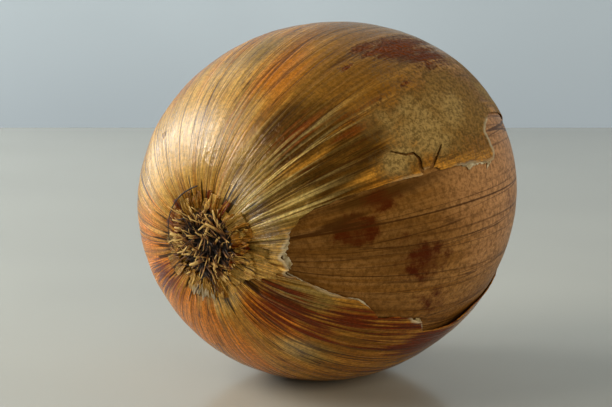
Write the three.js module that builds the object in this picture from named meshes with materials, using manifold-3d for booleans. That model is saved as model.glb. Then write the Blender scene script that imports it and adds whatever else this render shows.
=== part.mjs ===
// A dry yellow onion lying on its side. Millimetres, +Z up, the root end towards -Y.
// Three pieces: the bulb with the dry leaf ends in its neck, the torn outer skin round it, and the root tuft.

import * as THREE from "three";
import { mergeVertices } from "three/addons/utils/BufferGeometryUtils.js";
import Module from "manifold-3d";

const wasm = await Module();
wasm.setup();

// Driving dimensions
const EQUATOR_RADIUS = 40;
const ROOT_REACH = 38.4; // from the equator to the root face
const SHOULDER_REACH = 46; // from the equator to where the shoulder becomes the neck
const NECK_RADIUS = 5.4;
const NECK_REACH = 58; // from the equator to the rim of the neck's skin
const SKIN = 0.6; // thickness of the outer skin
const GAP = 0.3; // air between two pieces
const AXIS_TILT = THREE.MathUtils.degToRad(5.5); // the neck end is the higher one
const CENTRE = new THREE.Vector3(0.44, -10.26, 38.9); // the middle of the equator

// The bulb isn't quite round: it has two fuller sides, three faint corners, and leans fuller towards the neck.
const OVAL = { size: 0.023, angle: 72 };
const CORNERS = { size: 0.0127, angle: 60 };
const LEAN = { size: 0.0245, angle: 75 };
const NECK_BEND = { start: 40, perSquare: 0.008, angle: 35 };

const AROUND = 64;
const RIBS = AROUND / 2;
const STATIONS = 22;
const SEED = 41;

const radians = THREE.MathUtils.degToRad;
const mix = THREE.MathUtils.lerp;
const bell = (x, width) => Math.exp(-((x / width) ** 2));

function seededRandom(seed) {
  let state = seed;
  return () => {
    state = (state * 1664525 + 1013904223) % 4294967296;
    return state / 4294967296;
  };
}

// Directions of the onion: along it from root to neck, and across it, up and to the right
const ALONG = new THREE.Vector3(0, Math.cos(AXIS_TILT), Math.sin(AXIS_TILT));
const UPWARD = new THREE.Vector3(0, -Math.sin(AXIS_TILT), Math.cos(AXIS_TILT));
const RIGHT = new THREE.Vector3(1, 0, 0);

// The outline from the middle of the root face to the neck's rim, as distance along the axis and radius.
// It is the outside of the outer skin.
const OUTLINE = new THREE.SplineCurve([
  new THREE.Vector2(-ROOT_REACH + 0.8, 0),
  new THREE.Vector2(-ROOT_REACH + 0.4, 0.125 * EQUATOR_RADIUS),
  new THREE.Vector2(-ROOT_REACH, 0.25 * EQUATOR_RADIUS),
  new THREE.Vector2(-0.96 * ROOT_REACH, 0.425 * EQUATOR_RADIUS),
  new THREE.Vector2(-0.82 * ROOT_REACH, 0.64 * EQUATOR_RADIUS),
  new THREE.Vector2(-0.585 * ROOT_REACH, 0.825 * EQUATOR_RADIUS),
  new THREE.Vector2(-0.285 * ROOT_REACH, 0.957 * EQUATOR_RADIUS),
  new THREE.Vector2(0.02 * SHOULDER_REACH, EQUATOR_RADIUS),
  new THREE.Vector2(0.29 * SHOULDER_REACH, 0.96 * EQUATOR_RADIUS),
  new THREE.Vector2(0.54 * SHOULDER_REACH, 0.825 * EQUATOR_RADIUS),
  new THREE.Vector2(0.75 * SHOULDER_REACH, 0.61 * EQUATOR_RADIUS),
  new THREE.Vector2(0.89 * SHOULDER_REACH, 0.39 * EQUATOR_RADIUS),
  new THREE.Vector2(SHOULDER_REACH, 1.6 * NECK_RADIUS),
  new THREE.Vector2(mix(SHOULDER_REACH, NECK_REACH, 0.45), NECK_RADIUS),
  new THREE.Vector2(NECK_REACH, 1.15 * NECK_RADIUS),
]);

// A place on the outline: where it is, and which way is out.
function station(share) {
  const point = OUTLINE.getPointAt(share);
  const tangent = OUTLINE.getTangentAt(share);
  return { w: point.x, r: point.y, outW: -tangent.y, outR: tangent.x };
}

// The place on the outline at a given distance along the axis, found by halving. It starts where the
// outline has turned away from the root face, so that each distance is met once.
function stationAt(w) {
  let low = 0.1;
  let high = 1;
  for (let i = 0; i < 30; i++) {
    const middle = (low + high) / 2;
    if (OUTLINE.getPointAt(middle).x < w) low = middle;
    else high = middle;
  }
  return station(low);
}

const lump = ({ size, angle }, phi, times) =>
  size * Math.cos(times * (phi - radians(angle)));

// Ribs run along the leaves: strongest beside the roots and in the neck, faint on the equator.
function ribHeight(w, phi) {
  const strength =
    0.05 + 0.2 * bell(w + ROOT_REACH - 3, 9) + 0.3 * bell(w - NECK_REACH + 6, 9);
  const slow = 0.65 + 0.35 * Math.sin(5 * phi + w / 9);
  return strength * slow * Math.cos(RIBS * phi);
}

// Where the torn skin stands off the bulb: at the gaping lower edge, along the upper edge and at the root flap.
const LIFTS = [
  { w: -1, phi: 126, alongW: 9, acrossMm: 7, height: 1.3 },
  { w: -14, phi: 66, alongW: 5, acrossMm: 5, height: 0.35 },
  { w: -35.5, phi: 94, alongW: 3, acrossMm: 6, height: 0.7 },
  { w: -27, phi: 112, alongW: 6, acrossMm: 4, height: 0.4 },
];

function liftHeight(w, phi, r) {
  let height = 0;
  for (const lift of LIFTS) {
    const turn = Math.atan2(
      Math.sin(phi - radians(lift.phi)),
      Math.cos(phi - radians(lift.phi)),
    );
    height +=
      lift.height * bell(w - lift.w, lift.alongW) * bell(turn * r, lift.acrossMm);
  }
  return height;
}

// A point of the onion: a place on the outline, the angle round the axis from the top towards the
// right, and the height above the outline.
function place({ w, r, outW, outR }, phi, height) {
  const round =
    1 + lump(OVAL, phi, 2) + lump(CORNERS, phi, 3) + (lump(LEAN, phi, 1) * w) / EQUATOR_RADIUS;
  const across = r * round + outR * height;
  const bend = NECK_BEND.perSquare * Math.max(0, w - NECK_BEND.start) ** 2;
  const up = across * Math.cos(phi) + bend * Math.cos(radians(NECK_BEND.angle));
  const right = across * Math.sin(phi) + bend * Math.sin(radians(NECK_BEND.angle));
  return CENTRE.clone()
    .addScaledVector(ALONG, w + outW * height)
    .addScaledVector(UPWARD, up)
    .addScaledVector(RIGHT, right);
}

// Shares of the outline that the rings of a turned piece sit at, closer together at both ends
function ringShares(first, last, count) {
  return Array.from({ length: count }, (_, i) => {
    const even = i / (count - 1);
    const eased = (1 - Math.cos(Math.PI * even)) / 2;
    return mix(first, last, mix(even, eased, 0.45));
  });
}

// A LatheGeometry whose every point is then put where placeRing(ring, phi) says.
// The rings start and end on the axis, or the last is the first again.
function turned(ringCount, closed, placeRing) {
  const flat = Array.from({ length: ringCount }, (_, j) => {
    const onAxis = !closed && (j === 0 || j === ringCount - 1);
    return new THREE.Vector2(onAxis ? 0 : 1, j);
  });
  if (closed) flat.push(flat[0].clone());
  const geometry = new THREE.LatheGeometry(flat, AROUND);
  const position = geometry.attributes.position;
  for (let i = 0; i <= AROUND; i++) {
    const phi = ((i % AROUND) / AROUND) * 2 * Math.PI;
    for (let j = 0; j < flat.length; j++) {
      const point = placeRing(j % ringCount, phi);
      position.setXYZ(i * flat.length + j, point.x, point.y, point.z);
    }
  }
  return geometry;
}

function solid(geometry) {
  const bare = geometry.clone();
  bare.deleteAttribute("normal");
  bare.deleteAttribute("uv");
  const merged = mergeVertices(bare, 1e-4);
  const made = new wasm.Manifold(
    new wasm.Mesh({
      numProp: 3,
      vertProperties: merged.attributes.position.array,
      triVerts: new Uint32Array(merged.index.array),
    }),
  );
  if (made.volume() > 0) return made;
  return solid(turnedInsideOut(merged));
}

function turnedInsideOut(geometry) {
  const index = geometry.index.array;
  for (let i = 0; i < index.length; i += 3) {
    [index[i + 1], index[i + 2]] = [index[i + 2], index[i + 1]];
  }
  return geometry;
}

function meshOf(made, name, material) {
  const { numProp, vertProperties, triVerts } = made.getMesh();
  const position = new Float32Array((vertProperties.length / numProp) * 3);
  for (let i = 0; i < position.length / 3; i++) {
    for (let k = 0; k < 3; k++) position[3 * i + k] = vertProperties[numProp * i + k];
  }
  const geometry = new THREE.BufferGeometry();
  geometry.setAttribute("position", new THREE.BufferAttribute(position, 3));
  geometry.setIndex(new THREE.BufferAttribute(triVerts, 1));
  geometry.computeVertexNormals();
  const mesh = new THREE.Mesh(geometry, material);
  mesh.name = name;
  return mesh;
}

// Nothing of a piece is lower than its level: that makes the small flat spot the onion rests on.
function above(level, point) {
  point.z = Math.max(point.z, level);
  return point;
}

// The bulb

const BULB_TOP = 0.965; // share of the outline at which the neck's core ends

function bulbBody() {
  const shares = ringShares(0, BULB_TOP, STATIONS);
  const stations = shares.map(station);
  const depth = SKIN + GAP;
  return turned(STATIONS + 1, false, (ring, phi) => {
    const last = ring === STATIONS;
    const at = stations[Math.min(ring, STATIONS - 1)];
    if (ring === 0) return place({ ...at, r: 0 }, 0, -depth);
    if (last) return place({ w: at.w + 1, r: 0, outW: 0, outR: 0 }, 0, 0);
    return above(depth, place(at, phi, ribHeight(at.w, phi) - depth));
  });
}

// One dry leaf end: a thin strip rooted in the neck's core, twisted and with a torn tip.
function leafEnd({ turn, offset, width, length, twist, splay }, random) {
  const THICKNESS = 0.8;
  const ROOTED = NECK_REACH - 10;
  const strip = new THREE.BoxGeometry(1, THICKNESS, 1, 3, 1, 6);
  const position = strip.attributes.position;
  const tear = [0, 1, 2, 3].map(() => random());
  for (let i = 0; i < position.count; i++) {
    const share = position.getZ(i) + 0.5;
    const side = position.getX(i);
    const torn = share > 0.99 ? tear[Math.round((side + 0.5) * 3)] * 2.2 : 0;
    const climb = share * length - torn;
    const half = width * (0.75 + 0.45 * share);
    const bow = 0.9 * (1 - (2 * side) ** 2) * share;
    const out = offset + splay * share ** 2 + position.getY(i) + bow;
    const angle = turn + twist * share;
    const u = out * Math.cos(angle) - side * half * Math.sin(angle);
    const v = out * Math.sin(angle) + side * half * Math.cos(angle);
    const w = ROOTED + climb;
    const core = place({ w, r: 0, outW: 0, outR: 0 }, 0, 0);
    core.addScaledVector(UPWARD, u).addScaledVector(RIGHT, v);
    position.setXYZ(i, core.x, core.y, core.z);
  }
  return strip;
}

function makeBulb(material) {
  const random = seededRandom(SEED);
  const LEAF_ENDS = 5;
  let bulb = solid(bulbBody());
  for (let i = 0; i < LEAF_ENDS; i++) {
    const leaf = leafEnd(
      {
        turn: (i / LEAF_ENDS) * 2 * Math.PI + 0.5 * random(),
        offset: 1.5,
        width: 4.2,
        length: 14.5 + 3 * random(),
        twist: 0.7 + 0.3 * random(),
        splay: 1.6,
      },
      random,
    );
    bulb = bulb.add(solid(leaf));
  }
  return meshOf(bulb, "bulb", material);
}

// The outer skin

const ROOT_HOLE_SHARE = 0.066; // share of the outline at which the skin stops beside the roots

// The neck's rim is uneven, as dry skin breaks. Its last rings share the unevenness.
const rimReach = (phi) => 1.6 * Math.sin(2 * phi + 0.6) + 0.9 * Math.sin(5 * phi);
const rimShare = (ring) => Math.max(0, (ring - STATIONS + 4) / 3);

function skinSleeve() {
  const shares = ringShares(ROOT_HOLE_SHARE, 1, STATIONS);
  const stations = shares.map(station);
  return turned(2 * STATIONS, true, (ring, phi) => {
    const outside = ring < STATIONS;
    const k = outside ? ring : 2 * STATIONS - 1 - ring;
    const at = { ...stations[k] };
    at.w += rimReach(phi) * rimShare(k);
    const depth = outside ? 0 : SKIN;
    const rise = ribHeight(at.w, phi) + liftHeight(at.w, phi, at.r);
    return above(depth, place(at, phi, rise - depth));
  });
}

// The tear on the right side shows the layer below. Each point is the distance along the axis, and the
// angle round it in degrees: along the upper edge from the roots to the neck, then back along the lower edge.
const TEAR = [
  [-35.6, 77],
  [-34.4, 72.5],
  [-32.5, 69.6],
  [-27.5, 69.4],
  [-20.7, 70],
  [-13.8, 70.6],
  [-6.5, 71.5],
  [0.5, 72.8],
  [6.2, 73.9],
  [6.9, 71],
  [6.3, 66],
  [8.3, 62.4],
  [12, 60.5],
  [18, 61],
  [24.5, 65],
  [31, 71],
  [36.5, 80],
  [39.5, 91],
  [37.5, 103],
  [32, 112],
  [25, 116.5],
  [16, 118],
  [7.5, 119.5],
  [3.5, 122.6],
  [-2, 125.3],
  [-9, 126],
  [-11.5, 120.5],
  [-17, 118.6],
  [-21.2, 119.6],
  [-23, 116],
  [-26.5, 111.4],
  [-30.7, 110],
  [-34.4, 105.8],
  [-36.2, 102.4],
  [-35.7, 99.5],
  [-36.6, 92],
  [-36.4, 86],
];

// Two dry cracks run from the upper edge into the skin. Each narrows to its far end.
const CRACKS = [
  { path: [[-13.2, 72.5], [-13.9, 69], [-14.1, 66.3], [-14.7, 64], [-16.6, 62.9], [-18.4, 60.8]], width: 0.9 },
  { path: [[-12.4, 72.5], [-11.9, 69.2], [-10.2, 66.4], [-7.8, 64]], width: 0.9 },
];

// A solid with walls along rays from the equator's middle, which cuts an outline out of the skin.
function radialCutter(outline) {
  const NEAR = 0.3;
  const FAR = 3.5;
  const flat = outline.map(([w, degrees]) => new THREE.Vector2(w, degrees));
  if (THREE.ShapeUtils.isClockWise(flat)) flat.reverse();
  const caps = THREE.ShapeUtils.triangulateShape(flat, []);
  const rim = flat.map(({ x, y }) => place(stationAt(x), radians(y), 0).sub(CENTRE));
  const near = rim.map((p) => p.clone().multiplyScalar(NEAR).add(CENTRE));
  const far = rim.map((p) => p.clone().multiplyScalar(FAR).add(CENTRE));
  const points = [...near, ...far];
  const n = rim.length;
  const faces = [];
  for (const [a, b, c] of caps) faces.push(a, c, b, n + a, n + b, n + c);
  for (let i = 0; i < n; i++) {
    const j = (i + 1) % n;
    faces.push(i, j, n + j, i, n + j, n + i);
  }
  const geometry = new THREE.BufferGeometry().setFromPoints(points);
  geometry.setIndex(faces);
  return solid(geometry);
}

// The outline of a crack: out along one side of its path and back along the other.
function crackOutline({ path, width }) {
  const there = [];
  const back = [];
  path.forEach(([w, degrees], i) => {
    const [w0, d0] = path[Math.max(0, i - 1)];
    const [w1, d1] = path[Math.min(path.length - 1, i + 1)];
    const degreesPerMm = 180 / Math.PI / stationAt(w).r;
    const run = new THREE.Vector2(w1 - w0, (d1 - d0) / degreesPerMm).normalize();
    const half = (width / 2) * (1 - (0.85 * i) / (path.length - 1));
    there.push([w - run.y * half, degrees + run.x * half * degreesPerMm]);
    back.unshift([w + run.y * half, degrees - run.x * half * degreesPerMm]);
  });
  return [...there, ...back];
}

function makeSkin(material) {
  let skin = solid(skinSleeve()).subtract(radialCutter(TEAR));
  for (const crack of CRACKS) skin = skin.subtract(radialCutter(crackOutline(crack)));
  return meshOf(skin, "outer_skin", material);
}

// The root tuft

const PLATE_RADIUS = 7.6;
const PLATE_REACH = ROOT_REACH - 0.4; // from the equator to the plate's inner face
const PLATE_RISE = 1.2; // thickness of the plate at its rim
const ROOTS = 150;

function rootPlate() {
  const FACES = 20;
  const profile = [
    [0, -0.6],
    [PLATE_RADIUS - 0.3, 0],
    [PLATE_RADIUS, 0.5 * PLATE_RISE],
    [PLATE_RADIUS - 1.2, PLATE_RISE],
    [0, 0.7 * PLATE_RISE],
  ].map(([r, rise]) => new THREE.Vector2(r, -PLATE_REACH - rise));
  const plate = new THREE.LatheGeometry(profile, FACES);
  const position = plate.attributes.position;
  for (let i = 0; i < position.count; i++) {
    const point = CENTRE.clone()
      .addScaledVector(ALONG, position.getY(i))
      .addScaledVector(UPWARD, position.getZ(i))
      .addScaledVector(RIGHT, position.getX(i));
    position.setXYZ(i, point.x, point.y, point.z);
  }
  return plate;
}

// One dry root: three-sided, bowed, blunt, leaning outwards the more the nearer it is to the plate's rim.
function root(k, random) {
  const reach = (PLATE_RADIUS - 0.7) * Math.sqrt((k + 0.5) / ROOTS);
  const goldenTurn = 2.39996 * k;
  const edge = reach / PLATE_RADIUS;
  const lean = radians(8 + 58 * edge ** 1.6 + 20 * (random() - 0.5));
  const drift = goldenTurn + 1.1 * (random() - 0.5);
  const length = mix(4.6, 3.4, edge) * (0.75 + 0.5 * random());
  const thick = 0.34 + 0.12 * random();
  const bow = 0.7 * (random() - 0.3);
  const stick = new THREE.CylinderGeometry(0.7 * thick, thick, 1, 3, 2);
  const position = stick.attributes.position;
  const ROOTED = 0.9;
  for (let i = 0; i < position.count; i++) {
    const share = position.getY(i) + 0.5;
    const run = share * (length + ROOTED) - ROOTED;
    const out = run * Math.sin(lean) + bow * share ** 2 + position.getX(i) * Math.cos(lean);
    const rise = run * Math.cos(lean) - position.getX(i) * Math.sin(lean);
    const side = position.getZ(i);
    const u = reach * Math.cos(goldenTurn) + out * Math.cos(drift) - side * Math.sin(drift);
    const v = reach * Math.sin(goldenTurn) + out * Math.sin(drift) + side * Math.cos(drift);
    const point = CENTRE.clone()
      .addScaledVector(ALONG, -PLATE_REACH - 0.8 * PLATE_RISE - rise)
      .addScaledVector(UPWARD, u)
      .addScaledVector(RIGHT, v);
    position.setXYZ(i, point.x, point.y, point.z);
  }
  return stick;
}

function makeRoots(material) {
  const random = seededRandom(SEED + 1);
  const sticks = Array.from({ length: ROOTS }, (_, k) => solid(root(k, random)));
  const tuft = wasm.Manifold.union([solid(rootPlate()), ...sticks]);
  return meshOf(tuft, "root_tuft", material);
}

// Materials

const leafFlesh = new THREE.MeshStandardMaterial({ color: 0x9a6436, roughness: 0.5, metalness: 0 });
const drySkin = new THREE.MeshStandardMaterial({ color: 0xb98237, roughness: 0.42, metalness: 0 });
const dryRoot = new THREE.MeshStandardMaterial({ color: 0x8a6a3c, roughness: 0.9, metalness: 0 });

const onion = new THREE.Group();
onion.add(makeBulb(leafFlesh), makeSkin(drySkin), makeRoots(dryRoot));

export default onion;
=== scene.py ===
"""A dry yellow onion on its side, dressed over its CAD frame: papery torn skin, bulb, roots and neck."""

import math
import random
from bisect import bisect_right

import bmesh
import bpy
import numpy as np
from bpy.props import FloatProperty, FloatVectorProperty, IntProperty, PointerProperty
from mathutils import Matrix, Vector, noise


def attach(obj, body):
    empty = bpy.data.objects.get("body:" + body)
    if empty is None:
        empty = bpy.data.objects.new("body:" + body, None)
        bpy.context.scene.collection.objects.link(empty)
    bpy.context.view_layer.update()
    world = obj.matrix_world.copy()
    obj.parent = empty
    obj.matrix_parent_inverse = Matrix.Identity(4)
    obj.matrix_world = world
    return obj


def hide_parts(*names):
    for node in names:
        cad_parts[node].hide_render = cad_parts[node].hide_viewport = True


bl_info = {
    "name": "Dry Onion",
    "version": (1, 0, 0),
    "blender": (4, 5, 0),
    "location": "3D View > Sidebar > Onion",
    "description": "Builds a dry yellow onion with a torn papery skin",
    "category": "Object",
}

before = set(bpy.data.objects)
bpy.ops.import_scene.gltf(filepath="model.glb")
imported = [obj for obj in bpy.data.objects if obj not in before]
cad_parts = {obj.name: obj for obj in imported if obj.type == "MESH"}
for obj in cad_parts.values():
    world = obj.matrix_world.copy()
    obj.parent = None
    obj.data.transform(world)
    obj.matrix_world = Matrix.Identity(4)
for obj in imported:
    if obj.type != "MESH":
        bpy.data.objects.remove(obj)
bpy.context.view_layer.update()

# A noise vector's parts are offset by random numbers, which the clock would seed otherwise
NOISE_SEED = 2
noise.seed_set(NOISE_SEED)

# Sizes are in millimetres, as in the part's own source, and become metres when a point is placed.
MM = 0.001
EQUATOR_RADIUS = 40.0
ROOT_REACH = 38.4
SHOULDER_REACH = 46.0
NECK_RADIUS = 5.4
NECK_REACH = 58.0
AXIS_TILT = math.radians(5.5)
CENTRE = Vector((0.44, -10.26, 38.9))
ALONG = Vector((0, math.cos(AXIS_TILT), math.sin(AXIS_TILT)))
UPWARD = Vector((0, -math.sin(AXIS_TILT), math.cos(AXIS_TILT)))
RIGHT = Vector((1, 0, 0))

# Past this distance along the axis the neck bends, more and more, up and to the right
BEND_START = 40
BEND = 0.008
BEND_TURN = math.radians(35)

OUTLINE_POINTS = [
    (0.8 - ROOT_REACH, 0),
    (0.4 - ROOT_REACH, 0.125 * EQUATOR_RADIUS),
    (-ROOT_REACH, 0.25 * EQUATOR_RADIUS),
    (-0.96 * ROOT_REACH, 0.425 * EQUATOR_RADIUS),
    (-0.82 * ROOT_REACH, 0.64 * EQUATOR_RADIUS),
    (-0.585 * ROOT_REACH, 0.825 * EQUATOR_RADIUS),
    (-0.285 * ROOT_REACH, 0.957 * EQUATOR_RADIUS),
    (0.02 * SHOULDER_REACH, EQUATOR_RADIUS),
    (0.29 * SHOULDER_REACH, 0.96 * EQUATOR_RADIUS),
    (0.54 * SHOULDER_REACH, 0.825 * EQUATOR_RADIUS),
    (0.75 * SHOULDER_REACH, 0.61 * EQUATOR_RADIUS),
    (0.89 * SHOULDER_REACH, 0.39 * EQUATOR_RADIUS),
    (SHOULDER_REACH, 1.6 * NECK_RADIUS),
    (0.55 * SHOULDER_REACH + 0.45 * NECK_REACH, NECK_RADIUS),
    (NECK_REACH, 1.15 * NECK_RADIUS),
]

# The camera stands as the photographer's did: angles in degrees, distances in millimetres.
LENS = 85
SENSOR = 36
CAMERA_AZIMUTH = math.radians(38.7)
CAMERA_ELEVATION = math.radians(10)
CAMERA_DISTANCE = 318
CAMERA_ASIDE = 4.32
CAMERA_RAISED = 0.69


def linear(code):
    """Turns an sRGB hex colour into linear red, green and blue."""
    channels = [int(code[i : i + 2], 16) / 255 for i in (1, 3, 5)]
    return tuple(c / 12.92 if c <= 0.04045 else ((c + 0.055) / 1.055) ** 2.4 for c in channels)


def bell(x, width):
    return math.exp(-((x / width) ** 2))


def mix(a, b, share):
    return a + (b - a) * share


def turn_between(a, b):
    """The signed angle from b to a, the short way round."""
    return math.atan2(math.sin(a - b), math.cos(a - b))


class Station:
    """A place on the outline: distance along the axis, radius, the way out, and the length up to it."""

    def __init__(self, w, r, out_w, out_r, s):
        self.w, self.r, self.out_w, self.out_r, self.s = w, r, out_w, out_r, s


class Outline:
    """The bulb's outline from the middle of the root face to the neck's rim, as a smooth curve."""

    STEPS = 24

    def __init__(self, points):
        places = []
        last = len(points) - 1
        for i in range(last):
            four = [points[min(max(k, 0), last)] for k in (i - 1, i, i + 1, i + 2)]
            places += [self.between(four, k / self.STEPS) for k in range(self.STEPS)]
        places.append(points[-1])
        self.s = [0.0]
        for (w0, r0), (w1, r1) in zip(places, places[1:]):
            self.s.append(self.s[-1] + math.hypot(w1 - w0, r1 - r0))
        self.length = self.s[-1]
        self.stations = []
        for i, (w, r) in enumerate(places):
            (w0, r0), (w1, r1) = places[max(i - 1, 0)], places[min(i + 1, len(places) - 1)]
            run = math.hypot(w1 - w0, r1 - r0)
            self.stations.append(Station(w, r, (r0 - r1) / run, (w1 - w0) / run, self.s[i]))

    @staticmethod
    def between(four, t):
        """A point of the curve that goes through the two middle points."""
        made = []
        for a, b, c, d in zip(*four):
            v0, v1 = (c - a) / 2, (d - b) / 2
            cubic, square = 2 * b - 2 * c + v0 + v1, 3 * c - 3 * b - 2 * v0 - v1
            made.append(cubic * t**3 + square * t**2 + v0 * t + b)
        return tuple(made)

    def at(self, s):
        """The station at a length along the outline."""
        i = min(max(bisect_right(self.s, s) - 1, 0), len(self.s) - 2)
        share = (s - self.s[i]) / (self.s[i + 1] - self.s[i])
        a, b = self.stations[i], self.stations[i + 1]
        return Station(
            mix(a.w, b.w, share),
            mix(a.r, b.r, share),
            mix(a.out_w, b.out_w, share),
            mix(a.out_r, b.out_r, share),
            s,
        )

    def length_at(self, w):
        """The length along the outline at which it passes a distance w, past the root face."""
        low, high = 0.08 * self.length, self.length
        for _ in range(30):
            middle = (low + high) / 2
            if self.at(middle).w < w:
                low = middle
            else:
                high = middle
        return low


OUTLINE = Outline(OUTLINE_POINTS)


def roundness(w, phi):
    """The bulb isn't quite round: two fuller sides, three faint corners, and fuller towards the neck."""
    return (
        1
        + 0.023 * math.cos(2 * (phi - math.radians(72)))
        + 0.0127 * math.cos(3 * (phi - math.radians(60)))
        + 0.0245 * math.cos(phi - math.radians(75)) * w / EQUATOR_RADIUS
    )


def place(at, phi, height, floor=0.02):
    """A point in metres: a station, the angle from the top towards the right, and height above the skin."""
    across = at.r * roundness(at.w, phi) + at.out_r * height
    bend = BEND * max(0.0, at.w - BEND_START) ** 2
    up = across * math.cos(phi) + bend * math.cos(BEND_TURN)
    right = across * math.sin(phi) + bend * math.sin(BEND_TURN)
    point = CENTRE + ALONG * (at.w + at.out_w * height) + UPWARD * up + RIGHT * right
    point.z = max(point.z, floor)
    return point * MM


def streak(phi, s, around, along, seed):
    """Noise from -1 to 1 that is drawn out along the leaf's lines."""
    return noise.noise(Vector((around * math.cos(phi), around * math.sin(phi), s / along + seed)))


# The tear on the right side: distance along the axis and angle in degrees. It follows the tear of the part's
# source, except that its upper edge is nearer to the photo's and its far side reaches further round.
TEAR = [
    (-35.6, 77), (-34.4, 72.5), (-32.5, 69.6), (-27.5, 69.4), (-20.7, 70), (-14.3, 70.8), (-13.7, 69.5),
    (-11, 70.1), (-10.2, 71.4), (-6.5, 71.6), (0.5, 72.8), (6.2, 73.9), (6.9, 71), (6.3, 66), (8.3, 62.4),
    (12, 60.5), (18, 60.5), (24.5, 61), (31, 64), (36.5, 72), (39.8, 86), (38, 103), (32, 115),
    (25, 119.5), (16, 121), (7.5, 121.5), (3.5, 122.6), (-2, 125.3), (-9, 126), (-11.5, 120.5),
    (-17, 118.6), (-21.2, 119.6), (-23, 116), (-26.5, 111.4), (-30.7, 110), (-34.4, 105.8), (-36.2, 102.4),
    (-35.7, 99.5), (-36.6, 92), (-36.4, 86),
]

# Two dry cracks that open from the tear's upper edge, given the same way
CRACKS = [
    [(-13.6, 72.5), (-14.3, 68.6), (-13.9, 66), (-14.5, 64), (-16.1, 63.5), (-18.4, 60.8)],
    [(-12.6, 72.5), (-12.3, 70), (-10.2, 67.4), (-7.8, 64.4)],
]
CRACK_WIDTH = 1.1

# The torn edge has a point at every step, moved about by this much where it is clean
TEAR_STEP = 0.5
TEAR_ROUGHNESS = 0.13

# Places below are the length along the outline from the middle of the root face, in millimetres, and the
# angle in degrees from the top towards the right. Each has a reach along the leaf and one across it.

# Where the tear is ragged rather than clean, and how deep in millimetres
RAGGED = [
    (18.5, 92, 7, 7, 0.8), (70, 67, 6, 6, 0.6), (60, 73, 5, 5, 0.35), (50, 121, 4, 4, 0.4),
    (96, 108, 14, 14, 0.6),
]

# Where the silvery membrane shows along the tear's edge, and how strongly
PALE_EDGES = [
    (18, 92, 5, 9, 0.8), (28, 109, 9, 5, 0.6), (70, 68, 8, 6, 1.0), (60, 73, 7, 4, 0.7),
    (50, 120, 3, 3, 0.9), (46, 70, 8, 3, 0.6),
]


class CutLine:
    """A closed line on the skin, in length along the outline and angle, which is cut out of it."""

    CHUNK = 4000

    def __init__(self, points):
        self.s = np.array([p[0] for p in points])
        self.phi = np.array([p[1] for p in points])

    def inside(self, s, phi):
        """Whether each of many places lies within the line."""
        crossed = np.zeros(len(s), dtype=bool)
        s1, phi1 = np.roll(self.s, -1), np.roll(self.phi, -1)
        for a, pa, b, pb in zip(self.s, self.phi, s1, phi1):
            if pa != pb:
                between = (pa > phi) != (pb > phi)
                crossed ^= between & (s < (b - a) * (phi - pa) / (pb - pa) + a)
        return crossed

    def nearest(self, s, phi, r):
        """For each of many places: the distance to the line in mm, and the nearest place on it."""
        found = [np.empty(len(s)) for _ in range(3)]
        s1, phi1 = np.roll(self.s, -1), np.roll(self.phi, -1)
        for k in range(0, len(s), self.CHUNK):
            part = slice(k, k + self.CHUNK)
            radius = r[part, None]
            ax, ay = self.s[None] - s[part, None], (self.phi[None] - phi[part, None]) * radius
            bx, by = s1[None] - s[part, None], (phi1[None] - phi[part, None]) * radius
            dx, dy = bx - ax, by - ay
            share = np.clip(-(ax * dx + ay * dy) / np.maximum(dx * dx + dy * dy, 1e-12), 0, 1)
            away = np.hypot(ax + share * dx, ay + share * dy)
            best = away.argmin(axis=1)
            row = np.arange(len(best))
            found[0][part] = away[row, best]
            found[1][part] = self.s[best] + share[row, best] * (s1 - self.s)[best]
            found[2][part] = self.phi[best] + share[row, best] * (phi1 - self.phi)[best]
        return found


def torn(points):
    """The tear with its fine raggedness: a point at every step, each moved by noise."""
    line = []
    for (w0, d0), (w1, d1) in zip(points, points[1:] + points[:1]):
        s0, s1 = OUTLINE.length_at(w0), OUTLINE.length_at(w1)
        r = OUTLINE.at((s0 + s1) / 2).r
        run = math.hypot(s1 - s0, math.radians(d1 - d0) * r)
        count = max(1, round(run / TEAR_STEP))
        for i in range(count):
            share = i / count
            s, phi = mix(s0, s1, share), math.radians(mix(d0, d1, share))
            depth = TEAR_ROUGHNESS + spread(RAGGED, s, phi, r)
            spot = Vector((s, phi * r, 0))
            wide, fine = noise.noise_vector(spot / 2.6), noise.noise_vector(spot / 0.9)
            shift = (wide + 0.6 * fine) * depth
            line.append((s + shift.x, phi + shift.y / r))
    return CutLine(line)


def cracked(path):
    """The outline of a crack: out along one side of its path and back along the other, narrowing."""
    there, back = [], []
    for i, (w, degrees) in enumerate(path):
        s, phi = OUTLINE.length_at(w), math.radians(degrees)
        r = OUTLINE.at(s).r
        (w0, d0), (w1, d1) = path[max(0, i - 1)], path[min(len(path) - 1, i + 1)]
        forward = OUTLINE.length_at(w1) - OUTLINE.length_at(w0)
        run = Vector((forward, math.radians(d1 - d0) * r)).normalized()
        half = CRACK_WIDTH / 2 * (1 - 0.75 * i / (len(path) - 1))
        there.append((s - run.y * half, phi + run.x * half / r))
        back.insert(0, (s + run.y * half, phi - run.x * half / r))
    return CutLine(there + back)


def spread(patches, s, phi, r):
    """How strongly a list of soft patches covers a place, from 0 to the strength of the strongest."""
    most = 0.0
    for s0, degrees, reach_along, reach_across, strength in patches:
        along = (s - s0) / reach_along
        across = turn_between(phi, math.radians(degrees)) * r / reach_across
        most = max(most, strength * math.exp(-(along * along + across * across)))
    return most


TEAR_LINE = torn(TEAR)
CRACK_LINES = [cracked(path) for path in CRACKS]

# Where the torn skin stands off the bulb, and how high in millimetres
LIFTS = [
    (62.5, 125, 7, 6, 0.75), (48, 66, 5, 5, 0.3), (20, 94, 3.5, 6, 0.5), (33, 112, 6, 4, 0.35),
    (36, 70, 12, 3, 0.4),
]

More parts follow.
